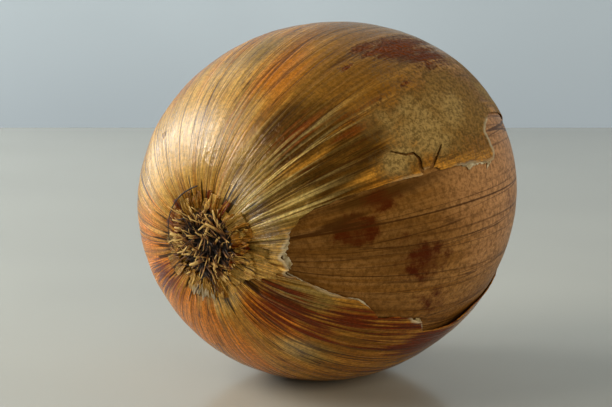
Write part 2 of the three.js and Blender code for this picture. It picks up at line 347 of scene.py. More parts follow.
# Where each finish lies on the outer skin, and how strongly
PATCHES = {
    "straw": [
        (25, -30, 16, 24, 1.0), (38, -12, 14, 14, 0.8), (30, 8, 12, 8, 0.7), (50, -10, 12, 12, 0.4),
        (14, 45, 7, 9, 0.9), (16, 80, 6, 9, 0.9), (12, 165, 4, 12, 0.8), (12, -150, 4, 6, 0.5),
        (30, 147, 7, 5, 0.9), (76, -60, 26, 26, 0.5),
    ],
    "umber": [
        (50, 32, 15, 12, 0.9), (39, 38, 10, 8, 0.7), (34, 60, 12, 4, 0.8), (62, 15, 14, 12, 0.7),
        (30, 22, 10, 3, 0.6), (40, 130, 14, 8, 0.7), (90, -20, 26, 20, 0.5),
    ],
    # Dark brown zones between the ridges beside the roots, partly painted shade
    "bark_and_valley_shade": [
        (32, 38, 10, 7, 1.2), (31, 61, 10, 5, 1.0), (39, 54, 9, 6, 1.0), (26, 68, 8, 2.5, 0.6),
        (68, 36, 8, 4, 0.5), (90, -60, 16, 10, 0.4),
    ],
    "olive": [
        (48, -4, 9, 6, 0.8), (20, 35, 9, 8, 0.7), (20, 62, 8, 8, 0.9), (34, 146, 9, 7, 0.6),
        (24, 115, 8, 4, 1.0), (84, 20, 26, 16, 0.6), (78, -120, 24, 20, 0.4),
    ],
    "orange": [
        (20, -110, 12, 16, 0.8), (22, -150, 12, 14, 0.9), (26, 178, 14, 10, 0.7), (20, 140, 8, 6, 0.8),
        (42, 13, 12, 5, 0.9), (56, -75, 20, 20, 0.5), (82, 175, 26, 22, 0.6),
    ],
    "rust": [
        (21, 128, 8, 6, 1.0), (29, 131, 8, 4, 0.8), (36, 122, 8, 4, 0.9), (17, -122, 6, 5, 0.8),
        (41, 46.5, 6, 4, 0.9), (46, 45.5, 5, 3.5, 0.8), (30, 38, 8, 3, 0.7), (48, 126, 12, 7, 0.9),
        (57, 131, 12, 7, 1.2), (44, -172, 9, 8, 0.6), (66, 140, 20, 12, 0.6), (64, -140, 18, 12, 0.5),
    ],
    "weathered": [
        (56, 57, 13, 9, 1.0), (66, 56, 14, 12, 1.0), (48, 52, 8, 7, 0.7), (46, 64, 7, 4, 0.9),
        (84, 50, 16, 12, 0.8), (58, 42, 10, 7, 0.5),
    ],
    "bleached": [
        (47, 60, 7, 5, 1.0), (53, 60, 7, 6, 0.8), (50, 52, 6, 5, 0.6), (44, 66, 4, 3, 0.9),
        (62, 57, 8, 6, 0.6), (84, 50, 12, 8, 0.5),
    ],
    "creased": [
        (15, 56, 6, 8, 1.0), (24, 47, 9, 7, 1.0), (37, 45, 9, 3.5, 0.8), (24, 30, 8, 5, 0.6),
        (33, 43, 10, 3, 0.9), (19, 0, 7, 4, 0.5), (22, 66, 8, 3.5, 0.9), (16, 76, 4, 6, 0.7),
        (20, 112, 6, 4, 0.6),
    ],
    "quiet": [
        (42, 28, 9, 9, 0.9), (54, 26, 20, 17, 1.0), (72, 8, 18, 20, 0.8), (46, 44, 8, 8, 0.7),
        (84, 150, 22, 20, 0.5), (60, -110, 20, 18, 0.5),
    ],
    "scar": [
        (64, 30, 8, 4.5, 1.0), (57, 26, 5, 2.6, 0.7), (68, 38, 6, 3, 0.9), (72, 29, 6, 4, 0.6),
        (56, 43.5, 1.6, 1.2, 0.9), (48, 45.8, 1.6, 1.2, 0.8), (49.5, 28.8, 1.6, 1.2, 0.7),
        (28, -40, 0.9, 0.9, 0.6),
    ],
}

# The same for the inner skin: damp stains, the pinkish part, and painted shade such as the shadow line under
# the tear's upper edge
STAINS = [
    (38.6, 74.5, 4, 2.6, 1.1), (33, 82.8, 4.5, 3, 1.5), (47.5, 97.2, 6, 5, 0.9), (52.6, 112.5, 6, 5, 0.55),
    (44, 90, 7, 3, 0.35), (75, 90, 8, 6, 0.4), (93, 96, 6, 5, 0.5),
]
BLUSH = [
    (77, 78, 20, 22, 1.0), (62, 80, 12, 12, 0.6), (66, 97, 10, 10, 0.6), (96, 90, 12, 20, 0.8),
]
PAINTED_SHADE = [
    (21, 96, 12, 14, 0.7), (31, 84, 9, 7, 1.0), (44, 77, 9, 3, 0.45), (42, 92, 12, 9, 0.8),
    (38, 72.6, 13, 1.6, 1.7), (38, 115, 14, 4, 0.6),
]


def turned(profile, steps):
    """A bmesh that a line of radii and heights makes as it turns once round Z."""
    bm = bmesh.new()
    verts = [bm.verts.new((r, 0, z)) for r, z in profile]
    edges = [bm.edges.new(pair) for pair in zip(verts, verts[1:])]
    bmesh.ops.spin(
        bm,
        geom=verts + edges,
        cent=(0, 0, 0),
        axis=(0, 0, 1),
        dvec=(0, 0, 0),
        angle=2 * math.pi,
        steps=steps,
        use_merge=True,
    )
    return bm


def sleeve(stations, around, close_start, close_end):
    """A bmesh tube of radius 1 about Z whose height is the length along the outline, still to be placed."""
    bm = turned([(1, s) for s in stations], around)
    for closed, s in ((close_start, stations[0]), (close_end, stations[-1])):
        if closed:
            rim = [e for e in bm.edges if e.is_boundary and abs(e.verts[0].co.z - s) < 1e-6]
            cap = bmesh.ops.contextual_create(bm, geom=rim)["faces"]
            bmesh.ops.poke(bm, faces=cap)
    bmesh.ops.recalc_face_normals(bm, faces=bm.faces)
    return bm


def spaced(first, last, count, ends):
    """Lengths from first to last, closer together at both ends by the share ends."""
    made = []
    for i in range(count):
        even = i / (count - 1)
        eased = (1 - math.cos(math.pi * even)) / 2
        made.append(mix(first, last, mix(even, eased, ends)))
    return made


def laid_out(points):
    """Where points of a sleeve lie: length along the outline, angle and radius, as three arrays."""
    s = np.array([p.z for p in points])
    phi = np.array([math.atan2(p.y, p.x) for p in points])
    r = np.array([max(OUTLINE.at(z).r, 1) for z in s])
    return s, phi, r


def finish_piece(name, bm, material, replaced=()):
    """Turns a bmesh into a piece that rides on the onion and stands for the CAD nodes named."""
    mesh = bpy.data.meshes.new(name)
    bm.to_mesh(mesh)
    bm.free()
    mesh.materials.append(material)
    for polygon in mesh.polygons:
        polygon.use_smooth = True
    piece = bpy.data.objects.new(name, mesh)
    bpy.context.scene.collection.objects.link(piece)
    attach(piece, "root")
    if replaced:
        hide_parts(*replaced)
    return piece


def write_values(piece, values):
    """Stores a number or a vector for each vertex, as attributes that the material reads by name."""
    for name, given in values.items():
        vector = isinstance(given[0], tuple)
        kind, field = ("FLOAT_VECTOR", "vector") if vector else ("FLOAT", "value")
        attribute = piece.data.attributes.new(name, kind, "POINT")
        attribute.data.foreach_set(field, [c for value in given for c in value] if vector else given)


def thicken(piece, thickness):
    """Gives a sheet its thickness, inwards from its outer face."""
    solid = piece.modifiers.new("thickness", "SOLIDIFY")
    solid.thickness = thickness
    solid.offset = -1


# Materials


def add(tree, kind, inputs=(), out=0, **settings):
    """Adds a node with its settings and links, and gives the output asked for."""
    made = tree.nodes.new(kind)
    for name, value in settings.items():
        setattr(made, name, value)
    for socket, value in dict(inputs).items():
        if isinstance(value, bpy.types.NodeSocket):
            tree.links.new(value, made.inputs[socket])
        else:
            made.inputs[socket].default_value = value
    return made.outputs[out] if made.outputs else made


SMOOTH = {"interpolation_type": "SMOOTHSTEP"}
BLEND = {"out": 2, "data_type": "RGBA"}
PRODUCT = {"operation": "MULTIPLY"}
SUM = {"operation": "MULTIPLY_ADD"}


def new_material(name):
    """A material with only a shader and an output, as (material, tree, shader)."""
    material = bpy.data.materials.new(name)
    material.use_nodes = True
    tree = material.node_tree
    tree.nodes.clear()
    surface = add(tree, "ShaderNodeBsdfPrincipled")
    add(tree, "ShaderNodeOutputMaterial", {"Surface": surface})
    return material, tree, surface.node


def rgba(colour):
    return (*colour, 1.0)


def made_of(maker, context):
    """The material that a function makes, made only once."""
    return bpy.data.materials.get(maker.__name__) or maker(context.scene.onion_colours)


def painted(tree, colours, ground, coats):
    """A ground under coats of other tones, each where its mask says; a tone is a name or a socket."""

    def tone(given):
        return rgba(getattr(colours, given)) if isinstance(given, str) else given

    for mask, coat in coats:
        ground = add(tree, "ShaderNodeMix", {0: mask, 6: tone(ground), 7: tone(coat)}, **BLEND)
    return ground


def summed(tree, total, parts):
    """A first texture plus others, each times its weight."""
    for texture, weight in parts:
        total = add(tree, "ShaderNodeMath", {0: texture, 1: weight, 2: total}, **SUM)
    return total


def drawn_out(tree, vector, around, along, detail, roughness=0.5):
    """A pattern of noise drawn out along the leaf, from 0 to 1: how fine it is round it, and along it."""
    scaled = add(tree, "ShaderNodeVectorMath", {0: vector, 1: (around, around, along)}, **PRODUCT)
    return add(tree, "ShaderNodeTexNoise", {0: scaled, "Scale": 1, "Detail": detail, "Roughness": roughness})


def leaf_veins(tree, vector, around, along, waviness, width):
    """Thin long veins that now and then join, as 1 on a vein and 0 off it; each fades in and out."""
    scaled = add(tree, "ShaderNodeVectorMath", {0: vector, 1: (around, around, along)}, **PRODUCT)
    wave = add(tree, "ShaderNodeTexNoise", {0: scaled, "Scale": 1.4, "Detail": 2}, out=1)
    centred = add(tree, "ShaderNodeVectorMath", {0: wave, 1: (0.5, 0.5, 0.5)}, operation="SUBTRACT")
    moved = add(tree, "ShaderNodeVectorMath", {0: centred, 1: (waviness,) * 3, 2: scaled}, **SUM)
    edge = add(tree, "ShaderNodeTexVoronoi", {0: moved, "Scale": 1}, feature="DISTANCE_TO_EDGE")
    line = add(tree, "ShaderNodeMapRange", {0: edge, 1: 0.3 * width, 2: width, 3: 1, 4: 0}, **SMOOTH)
    fade = add(tree, "ShaderNodeTexNoise", {0: moved, "Scale": 0.8, "Detail": 1})
    fade = add(tree, "ShaderNodeMapRange", {0: fade, 1: 0.38, 2: 0.6, 3: 0.1, 4: 1}, **SMOOTH)
    return add(tree, "ShaderNodeMath", {0: line, 1: fade}, **PRODUCT)


def patchy(tree, name, texture, amount):
    """A finish's soft patch, read from the mesh, with its border broken up by a texture."""
    mask = add(tree, "ShaderNodeAttribute", out=2, attribute_name=name)
    centred = add(tree, "ShaderNodeMath", {0: texture, 1: 0.5}, operation="SUBTRACT")
    moved = add(tree, "ShaderNodeMath", {0: centred, 1: amount, 2: mask}, **SUM)
    solid = add(tree, "ShaderNodeMapRange", {0: moved, 1: 0.25, 2: 0.75}, **SMOOTH)
    within = add(tree, "ShaderNodeMapRange", {0: mask, 1: 0.03, 2: 0.25}, **SMOOTH)
    return add(tree, "ShaderNodeMath", {0: solid, 1: within}, **PRODUCT)


def papery_skin(colours):
    """Dry onion skin: thin, glossy and golden, drawn in fine lengthwise lines, dull where it weathered."""
    material, tree, shader = new_material("papery_skin")
    grain = add(tree, "ShaderNodeAttribute", out=1, attribute_name="grain")
    creased, quiet, near_root, edge, pale = (
        add(tree, "ShaderNodeAttribute", out=2, attribute_name=name)
        for name in ("creased", "quiet", "near_root", "edge", "straw")
    )
    spot = add(tree, "ShaderNodeTexCoord", out=3)
    broad = drawn_out(tree, grain, 4.5, 0.9, 3)
    bands = drawn_out(tree, grain, 12, 0.8, 3)
    streaks = drawn_out(tree, grain, 28, 1.3, 4, 0.6)
    lines = drawn_out(tree, grain, 100, 2.6, 4, 0.65)
    veins = leaf_veins(tree, grain, 7, 0.22, 0.5, 0.028)
    fine_veins = leaf_veins(tree, grain, 17, 0.5, 0.6, 0.03)
    veins = add(tree, "ShaderNodeMath", {0: fine_veins, 1: 0.8, 2: veins}, use_clamp=True, **SUM)
    blotch = add(tree, "ShaderNodeTexNoise", {0: spot, "Scale": 170, "Detail": 5, "Roughness": 0.6})
    speckle = add(tree, "ShaderNodeTexNoise", {0: spot, "Scale": 1900, "Detail": 3, "Roughness": 0.7})
    grit = add(tree, "ShaderNodeTexNoise", {0: spot, "Scale": 1400, "Detail": 4, "Roughness": 0.8})

    # Golden ground in soft broad bands, then the patches of other tones, each broken along the leaf
    banded = add(tree, "ShaderNodeMapRange", {0: bands, 1: 0.34, 2: 0.66, 3: 0, 4: 0.7}, **SMOOTH)
    blotched = add(tree, "ShaderNodeMapRange", {0: blotch, 1: 0.48, 2: 0.66, 3: 0, 4: 0.6}, **SMOOTH)
    coats = [(banded, "amber"), (blotched, "umber")]
    for name, texture, amount in (
        ("straw", streaks, 1.8),
        ("umber", bands, 1.2),
        ("bark_and_valley_shade", bands, 1.6),
        ("olive", streaks, 1.0),
        ("orange", bands, 1.3),
        ("rust", streaks, 3.4),
    ):
        coats.append((patchy(tree, name, texture, amount), name))

    # Small rust flecks, in groups
    flecks = drawn_out(tree, grain, 34, 6, 2)
    flecks = add(tree, "ShaderNodeMapRange", {0: flecks, 1: 0.62, 2: 0.66, 3: 0, 4: 0.8}, **SMOOTH)
    groups = add(tree, "ShaderNodeMapRange", {0: broad, 1: 0.5, 2: 0.58}, **SMOOTH)
    flecks = add(tree, "ShaderNodeMath", {0: flecks, 1: groups}, **PRODUCT)

    # Ridges beside the roots have painted highlights on their long crests and painted shade in their valleys
    folds = drawn_out(tree, grain, 22, 1.6, 2, 0.4)
    painted_valley_shade = add(tree, "ShaderNodeMapRange", {0: folds, 1: 0.38, 2: 0.5, 3: 0.85, 4: 0}, **SMOOTH)
    ridge = add(tree, "ShaderNodeMapRange", {0: folds, 1: 0.56, 2: 0.66, 3: 0, 4: 0.8}, **SMOOTH)
    crest = leaf_veins(tree, grain, 10, 0.7, 0.9, 0.09)
    crest = add(tree, "ShaderNodeMath", {0: crest, 1: ridge}, operation="MAXIMUM")
    crumple = add(tree, "ShaderNodeTexNoise", {0: spot, "Scale": 380, "Detail": 3, "Distortion": 1.2})
    painted_valley_shade, crest, wrinkled, crumple = (
        add(tree, "ShaderNodeMath", {0: texture, 1: creased}, **PRODUCT)
        for texture in (painted_valley_shade, crest, folds, crumple)
    )

    # Quieter skin has faint cloudy mottling in place of lines
    cloudy = add(tree, "ShaderNodeMath", {0: blotch, 1: 0.6, 2: streaks}, **SUM)
    cloudy = add(tree, "ShaderNodeMapRange", {0: cloudy, 1: 0.6, 2: 0.95, 3: 0.55, 4: 0.95}, **SMOOTH)
    cloudy = add(tree, "ShaderNodeMath", {0: cloudy, 1: quiet}, **PRODUCT)
    coats += [(flecks, "fleck"), (painted_valley_shade, "bark_and_valley_shade"), (crest, "crest"), (cloudy, "quiet")]

    # Weathered skin is mottled like dry paper, with no lines, and scarred skin is crackled
    bleached = patchy(tree, "bleached", blotch, 1.6)
    bleached = add(tree, "ShaderNodeMath", {0: bleached, 1: 0.8}, **PRODUCT)
    gritty = add(tree, "ShaderNodeMapRange", {0: grit, 1: 0.42, 2: 0.64, 3: 0, 4: 0.5}, **SMOOTH)
    mottle = painted(tree, colours, "weathered", [(bleached, "weathered_pale"), (gritty, "weathered_dark")])
    frayed = add(tree, "ShaderNodeMath", {0: blotch, 1: grit})
    frayed = add(tree, "ShaderNodeMath", {0: frayed, 1: 0.5}, **PRODUCT)
    weathered = patchy(tree, "weathered", frayed, 1.6)
    crackled = add(tree, "ShaderNodeMath", {0: streaks, 1: 0.6, 2: frayed}, **SUM)
    crackled = add(tree, "ShaderNodeMath", {0: crackled, 1: 0.3}, operation="SUBTRACT")
    scar = patchy(tree, "scar", crackled, 3.4)
    scar = add(tree, "ShaderNodeMath", {0: scar, 1: 0.85}, **PRODUCT)
    colour = painted(tree, colours, "ochre", [*coats, (weathered, mottle), (scar, "scar")])

    # Light and dark: fine lines and broad pleats, which fade in quiet and weathered skin, and paper grain
    sound = add(tree, "ShaderNodeMath", {0: 1, 1: weathered}, operation="SUBTRACT")
    lively = add(tree, "ShaderNodeMath", {0: quiet, 1: -0.75, 2: 1}, **SUM)
    depth = add(tree, "ShaderNodeMath", {0: sound, 1: lively}, **PRODUCT)
    pleats = drawn_out(tree, grain, 19, 0.9, 2)
    pleats = add(tree, "ShaderNodeMapRange", {0: pleats, 1: 0.35, 2: 0.62, 3: -0.12, 4: 0.06}, **SMOOTH)
    shade = add(tree, "ShaderNodeMapRange", {0: lines, 1: 0.34, 2: 0.64, 3: -0.4, 4: 0.26}, **SMOOTH)
    shade = add(tree, "ShaderNodeMath", {0: shade, 1: pleats})
    shade = add(tree, "ShaderNodeMath", {0: shade, 1: depth, 2: 1}, **SUM)
    paper = add(tree, "ShaderNodeMapRange", {0: grit, 1: 0.4, 2: 0.6, 3: 1.22, 4: 0.76}, **SMOOTH)
    shade = add(tree, "ShaderNodeMath", {0: shade, 1: paper}, **PRODUCT)
    shade = add(tree, "ShaderNodeCombineColor", {0: shade, 1: shade, 2: shade})
    colour = add(tree, "ShaderNodeMix", {0: 1, 6: colour, 7: shade}, blend_type="MULTIPLY", **BLEND)

    # Veins, painted shade in the slits between the pleats beside the roots, and the membrane along the
    # tear's edge
    vein = add(tree, "ShaderNodeMath", {0: veins, 1: sound}, **PRODUCT)
    vein_tint = add(tree, "ShaderNodeMath", {0: vein, 1: 0.75}, **PRODUCT)
    slits = drawn_out(tree, grain, 17, 1.6, 2, 0.45)
    bar = add(tree, "ShaderNodeMapRange", {0: near_root, 1: 0.0, 2: 1.0, 3: 0.7, 4: 0.49})
    past = add(tree, "ShaderNodeMath", {0: slits, 1: bar}, operation="SUBTRACT")
    gloom = add(tree, "ShaderNodeMapRange", {0: past, 1: 0.0, 2: 0.02, 3: 0, 4: 0.9}, **SMOOTH)
    within = add(tree, "ShaderNodeMapRange", {0: near_root, 1: 0.02, 2: 0.25}, **SMOOTH)
    gloom = add(tree, "ShaderNodeMath", {0: gloom, 1: within}, **PRODUCT)
    edge = add(tree, "ShaderNodeMapRange", {0: edge, 1: 0.3, 2: 0.9, 3: 0, 4: 0.8}, **SMOOTH)
    colour = painted(tree, colours, colour, [(vein_tint, "vein"), (gloom, "gloom"), (edge, "membrane")])
    tree.links.new(colour, shader.inputs["Base Color"])

    # The shine is golden, and nearly white only on the palest skin
    pale = add(tree, "ShaderNodeMapRange", {0: pale, 1: 0.45, 2: 0.95}, **SMOOTH)
    sheen = painted(tree, colours, "sheen", [(pale, "pale_sheen")])
    tree.links.new(sheen, shader.inputs["Specular Tint"])
    dull = add(tree, "ShaderNodeMath", {0: weathered, 1: scar}, operation="MAXIMUM")
    rough = add(tree, "ShaderNodeMapRange", {0: dull, 1: 0, 2: 1, 3: 0.2, 4: 0.55})
    rough = summed(tree, rough, [(lines, 0.12), (gloom, 0.4)])
    tree.links.new(rough, shader.inputs["Roughness"])
    shader.inputs["IOR"].default_value = 1.5
    shader.inputs["Specular IOR Level"].default_value = 0.27
    gloss = add(tree, "ShaderNodeMath", {0: pale, 1: 0.75}, **PRODUCT)
    tree.links.new(gloss, shader.inputs["Coat Weight"])
    shader.inputs["Coat Roughness"].default_value = 0.22

    # Relief: the same lines, pleats, veins and wrinkles, pits where it weathered and cells in the scars
    pitted = add(tree, "ShaderNodeMath", {0: weathered, 1: grit}, **PRODUCT)
    cells = add(tree, "ShaderNodeTexVoronoi", {0: spot, "Scale": 700}, feature="DISTANCE_TO_EDGE")
    cells = add(tree, "ShaderNodeMapRange", {0: cells, 1: 0, 2: 0.25, 3: -2, 4: 0})
    parts = (
        (lines, 0.6),
        (pleats, 1.5),
        (speckle, 0.12),
        (pitted, -1.3),
        (scar, cells),
        (vein, -0.3),
        (wrinkled, 4.0),
        (crest, 0.8),
        (crumple, 3.5),
        (gloom, -1.2),
        (broad, 0.8),
    )
    relief = summed(tree, streaks, parts)
    bump = add(tree, "ShaderNodeBump", {"Strength": 1, "Distance": 0.25 * MM, "Height": relief})
    tree.links.new(bump, shader.inputs["Normal"])
    tree.links.new(bump, shader.inputs["Coat Normal"])
    return material


def brown_inner_skin(colours):
    """The next layer down: thicker, smoother and browner, with long dark veins and damp red-brown stains."""
    material, tree, shader = new_material("brown_inner_skin")
    grain = add(tree, "ShaderNodeAttribute", out=1, attribute_name="grain")
    blush, shaded = (
        add(tree, "ShaderNodeAttribute", out=2, attribute_name=name) for name in ("blush", "shaded")
    )
    spot = add(tree, "ShaderNodeTexCoord", out=3)
    streaks = drawn_out(tree, grain, 22, 1.2, 4, 0.6)
    lines = drawn_out(tree, grain, 70, 2.0, 2)
    veins = leaf_veins(tree, grain, 7, 0.25, 0.5, 0.03)
    fine_veins = leaf_veins(tree, grain, 14, 0.6, 0.8, 0.035)
    veins = add(tree, "ShaderNodeMath", {0: fine_veins, 1: 0.8, 2: veins}, use_clamp=True, **SUM)
    mottle = add(tree, "ShaderNodeTexNoise", {0: spot, "Scale": 1000, "Detail": 6, "Roughness": 0.8})
    blotch = add(tree, "ShaderNodeTexNoise", {0: spot, "Scale": 300, "Detail": 6, "Roughness": 0.75})

    streaked = add(tree, "ShaderNodeMapRange", {0: streaks, 1: 0.32, 2: 0.68}, **SMOOTH)
    # Painted shade on the inner skin, darkest just under the tear's upper edge
    shaded = add(tree, "ShaderNodeMath", {0: shaded, 1: 0.75}, **PRODUCT)
    blush = add(tree, "ShaderNodeMapRange", {0: blush, 1: 0.1, 2: 0.9}, **SMOOTH)
    mottled = add(tree, "ShaderNodeMapRange", {0: mottle, 1: 0.4, 2: 0.62, 3: 0, 4: 0.66}, **SMOOTH)
    stain = patchy(tree, "stain", blotch, 1.6)
    uneven = add(tree, "ShaderNodeMapRange", {0: blotch, 1: 0.42, 2: 0.6, 3: 0.6, 4: 1}, **SMOOTH)
    stain = add(tree, "ShaderNodeMath", {0: stain, 1: uneven}, **PRODUCT)
    vein_tint = add(tree, "ShaderNodeMath", {0: veins, 1: 0.85}, **PRODUCT)
    coats = (
        (streaked, "inner_pale"),
        (shaded, "inner_dark"),
        (blush, "blush"),
        (mottled, "inner_dark"),
        (stain, "stain"),
        (vein_tint, "vein"),
    )
    tree.links.new(painted(tree, colours, "inner", coats), shader.inputs["Base Color"])

    rough = add(tree, "ShaderNodeMapRange", {0: mottle, 1: 0.3, 2: 0.7, 3: 0.36, 4: 0.5})
    tree.links.new(rough, shader.inputs["Roughness"])
    shader.inputs["Specular Tint"].default_value = rgba(colours.sheen)
    shader.inputs["Specular IOR Level"].default_value = 0.22
    shader.inputs["IOR"].default_value = 1.5
    relief = summed(tree, streaks, [(lines, 0.8), (mottle, 0.5), (veins, -0.4)])
    bump = add(tree, "ShaderNodeBump", {"Strength": 1, "Distance": 0.13 * MM, "Height": relief})
    tree.links.new(bump, shader.inputs["Normal"])
    return material


def dry_root(colours):
    """Dry root fibre: matt and straw-coloured at the broken tips, with painted shade that makes it nearly
    black down between the roots.
    """
    material, tree, shader = new_material("dry_root")
    tone = add(tree, "ShaderNodeAttribute", out=2, attribute_name="tone")
    spot = add(tree, "ShaderNodeTexCoord", out=3)
    grit = add(tree, "ShaderNodeTexNoise", {0: spot, "Scale": 1500, "Detail": 3, "Roughness": 0.6})
    centred = add(tree, "ShaderNodeMath", {0: grit, 1: 0.5}, operation="SUBTRACT")
    uneven = add(tree, "ShaderNodeMath", {0: centred, 1: 0.5, 2: tone}, **SUM)
    brown = add(tree, "ShaderNodeMapRange", {0: uneven, 1: 0.08, 2: 0.4}, **SMOOTH)
    straw = add(tree, "ShaderNodeMapRange", {0: uneven, 1: 0.38, 2: 0.75}, **SMOOTH)
    colour = painted(tree, colours, "root_dark", [(brown, "root_brown"), (straw, "root_straw")])
    tree.links.new(colour, shader.inputs["Base Color"])
    shader.inputs["Roughness"].default_value = 0.7
    bump = add(tree, "ShaderNodeBump", {"Strength": 0.6, "Distance": 0.1 * MM, "Height": grit})
    tree.links.new(bump, shader.inputs["Normal"])
    return material


def torn_membrane(colours):
    """The silvery membrane under onion skin: pale, thin and slightly glossy where the skin tore off it."""
    material, tree, shader = new_material("torn_membrane")
    spot = add(tree, "ShaderNodeTexCoord", out=3)
    wrinkle = add(tree, "ShaderNodeTexNoise", {0: spot, "Scale": 900, "Detail": 3, "Roughness": 0.6})
    folded = add(tree, "ShaderNodeMapRange", {0: wrinkle, 1: 0.4, 2: 0.65}, **SMOOTH)
    colour = painted(tree, colours, "membrane", [(folded, "membrane_shade")])
    tree.links.new(colour, shader.inputs["Base Color"])
    shader.inputs["Roughness"].default_value = 0.42
    bump = add(tree, "ShaderNodeBump", {"Strength": 0.8, "Distance": 0.15 * MM, "Height": wrinkle})
    tree.links.new(bump, shader.inputs["Normal"])
    return material


# Settings


class OnionShape(bpy.types.PropertyGroup):
    """Sizes that a user would change."""

    skin_thickness: FloatProperty(
        name="Skin thickness",
        description="Thickness of the dry outer skin",
        default=0.2 * MM,
        unit="LENGTH",
        precision=5,
    )
    skin_around: IntProperty(name="Skin segments", description="Faces round the skin", default=248, min=24)
    bulb_around: IntProperty(name="Bulb segments", description="Faces round the bulb", default=224, min=24)
    roots: IntProperty(name="Roots", description="Number of dry roots in the tuft", default=330, min=1)
    root_thickness: FloatProperty(
        name="Root thickness",
        description="Diameter of a dry root",
        default=0.58 * MM,
        unit="LENGTH",
        precision=5,
    )
    seed: IntProperty(name="Seed", description="Changes the roots, scales and tears", default=7)


def colour_setting(name, code, words):
    """A colour that a user may change, given as sRGB hex."""
    kind = {"subtype": "COLOR", "min": 0, "max": 1}
    return FloatVectorProperty(name=name, description=words, default=linear(code), **kind)


class OnionColours(bpy.types.PropertyGroup):
    """Colours that a user would change."""

    ochre: colour_setting("Ochre", "#c98d34", "Main colour of the outer skin")
    amber: colour_setting("Amber", "#9a5a14", "Darker streaks of the outer skin")
    straw: colour_setting("Straw", "#d4a650", "Pale golden skin on the crown")
    umber: colour_setting("Umber", "#8a5818", "Brown skin right of the crown")
    # Dark brown skin, also used as painted shade in the valleys between the ridges
    bark_and_valley_shade: colour_setting("Bark", "#3c2004", "Darkest brown skin, between the ridges")
    fleck: colour_setting("Fleck", "#4e1c04", "Small rust flecks")
    olive: colour_setting("Olive", "#98793a", "Greenish skin")
    orange: colour_setting("Orange", "#de8424", "Orange skin low on the root side")
    rust: colour_setting("Rust", "#6e2404", "Red-brown skin")
    quiet: colour_setting("Cloudy brown", "#8a6426", "Cloudy mottling of the skin on top")
    weathered: colour_setting("Weathered", "#94723a", "Dry weathered skin")
    weathered_pale: colour_setting("Weathered, pale", "#b89a5e", "Pale mottling of the weathered skin")
    weathered_dark: colour_setting("Weathered, dark", "#523815", "Dark mottling of the weathered skin")
    scar: colour_setting("Scar", "#742a02", "Scarred spots")
    vein: colour_setting("Vein", "#3e1e08", "Lengthwise veins")
    # Painted shade in the slits between the pleats beside the roots
    gloom: colour_setting("Gloom", "#1e0c02", "Between the pleats beside the roots")
    inner: colour_setting("Inner skin", "#946228", "The layer below the torn skin")
    inner_pale: colour_setting("Inner skin, pale", "#b8854a", "Pale streaks of the inner skin")
    # Dark mottling of the inner skin, also used as its painted shade
    inner_dark: colour_setting("Inner skin, dark", "#4e2e0e", "Dark mottling of the inner skin")
    blush: colour_setting("Blush", "#d09a68", "Pinkish part of the inner skin")
    stain: colour_setting("Stain", "#4c1402", "Damp stains on the inner skin")
    # Dark root colour, also used as painted shade deep in the tuft
    root_dark: colour_setting("Root, dark", "#1a0d05", "Roots deep in the tuft")
    root_brown: colour_setting("Root, brown", "#86541a", "Middle of the roots")
    root_straw: colour_setting("Root, straw", "#dcb668", "Broken root tips")
    sheen: colour_setting("Sheen", "#ffc55c", "Tint of the shine on the skins")
    pale_sheen: colour_setting("Pale sheen", "#ffffff", "Tint of the shine on the palest skin")
    # Painted highlight on the crests of the wrinkles beside the roots
    crest: colour_setting("Crest", "#e6cc80", "Crests of the wrinkles beside the roots")
    membrane: colour_setting("Membrane", "#dccfae", "Silvery membrane at the tears")
    membrane_shade: colour_setting("Membrane, shaded", "#a58c5c", "Folds of the membrane")
    table: colour_setting("Table", "#bfc0b8", "The table top")
    backdrop: colour_setting("Backdrop", "#abb8c1", "The wall behind the table")


# The skin

# Painted shade darkens the slits between the pleats, from the roots' rim out to about this length along the
# outline
SLITS_START = 8.5
SLITS_END = 16.5


def near_root_rim(at, phi):
    """How close the place is to the roots, where painted shade darkens the slits between the pleats, from 0
    to 1.
    """
    reach = SLITS_END + 4 * streak(phi, 0, 5, 1, 3.3)
    return min(max((reach - at.s) / (reach - SLITS_START), 0.0), 1.0)


def skin_height(at, phi, from_tear):
    """Height of the outer skin's outer face above the smooth outline, in millimetres."""
    beside_roots = bell(max(0.0, at.r - 6), 13) if at.w < 0 else 0.0
    beside_neck = bell(at.w - NECK_REACH + 4, 12)
    height = 0.12 * streak(phi, at.s, 6, 45, 0.2) + 0.07 * streak(phi, at.s, 15, 50, 2.2)
    height += beside_roots * (0.42 * streak(phi, at.s, 15, 16, 5.1) + 0.2 * streak(phi, at.s, 38, 12, 8.4))
    height += beside_neck * (0.6 * streak(phi, at.s, 6, 22, 2.7) + 0.25 * streak(phi, at.s, 15, 18, 1.4))
    for s, degrees, along, across, rise in LIFTS:
        turn = turn_between(phi, math.radians(degrees))
        height += rise * bell(at.s - s, along) * bell(turn * at.r, across)
    flap = bell(at.s - 19, 3.5) * bell(turn_between(phi, math.radians(90)) * at.r, 9)
    height += flap * 0.5 * noise.noise(Vector((at.r * math.cos(phi), at.r * math.sin(phi), at.w)) / 1.7)
    ragged = spread(RAGGED, at.s, phi, at.r)
    curl = 0.5 + 0.5 * noise.noise(Vector((at.s, phi * at.r, 4.2)) / 2.2)
    return height + (0.08 + 0.45 * ragged) * curl * bell(from_tear, 0.9)


def rim_reach(phi):
    """The neck's uneven rim, as dry skin breaks."""
    teeth = 1.3 * noise.noise(Vector((9 * math.cos(phi), 9 * math.sin(phi), 1.7)))
    return 1.6 * math.sin(2 * phi + 0.6) + 0.9 * math.sin(5 * phi) + teeth


def refined(bm, lines, within):
    """Splits the edges that lie close to any of the lines."""
    verts = list(bm.verts)
    s, phi, r = laid_out([v.co for v in verts])
    away = np.min([line.nearest(s, phi, r)[0] for line in lines], axis=0)
    near = {v for v, d in zip(verts, away) if d < within}
    edges = [e for e in bm.edges if e.verts[0] in near and e.verts[1] in near]
    bmesh.ops.subdivide_edges(bm, edges=edges, cuts=1, use_grid_fill=True)


# A rim that lies within this distance of a line is drawn onto it
SNAP = 0.7


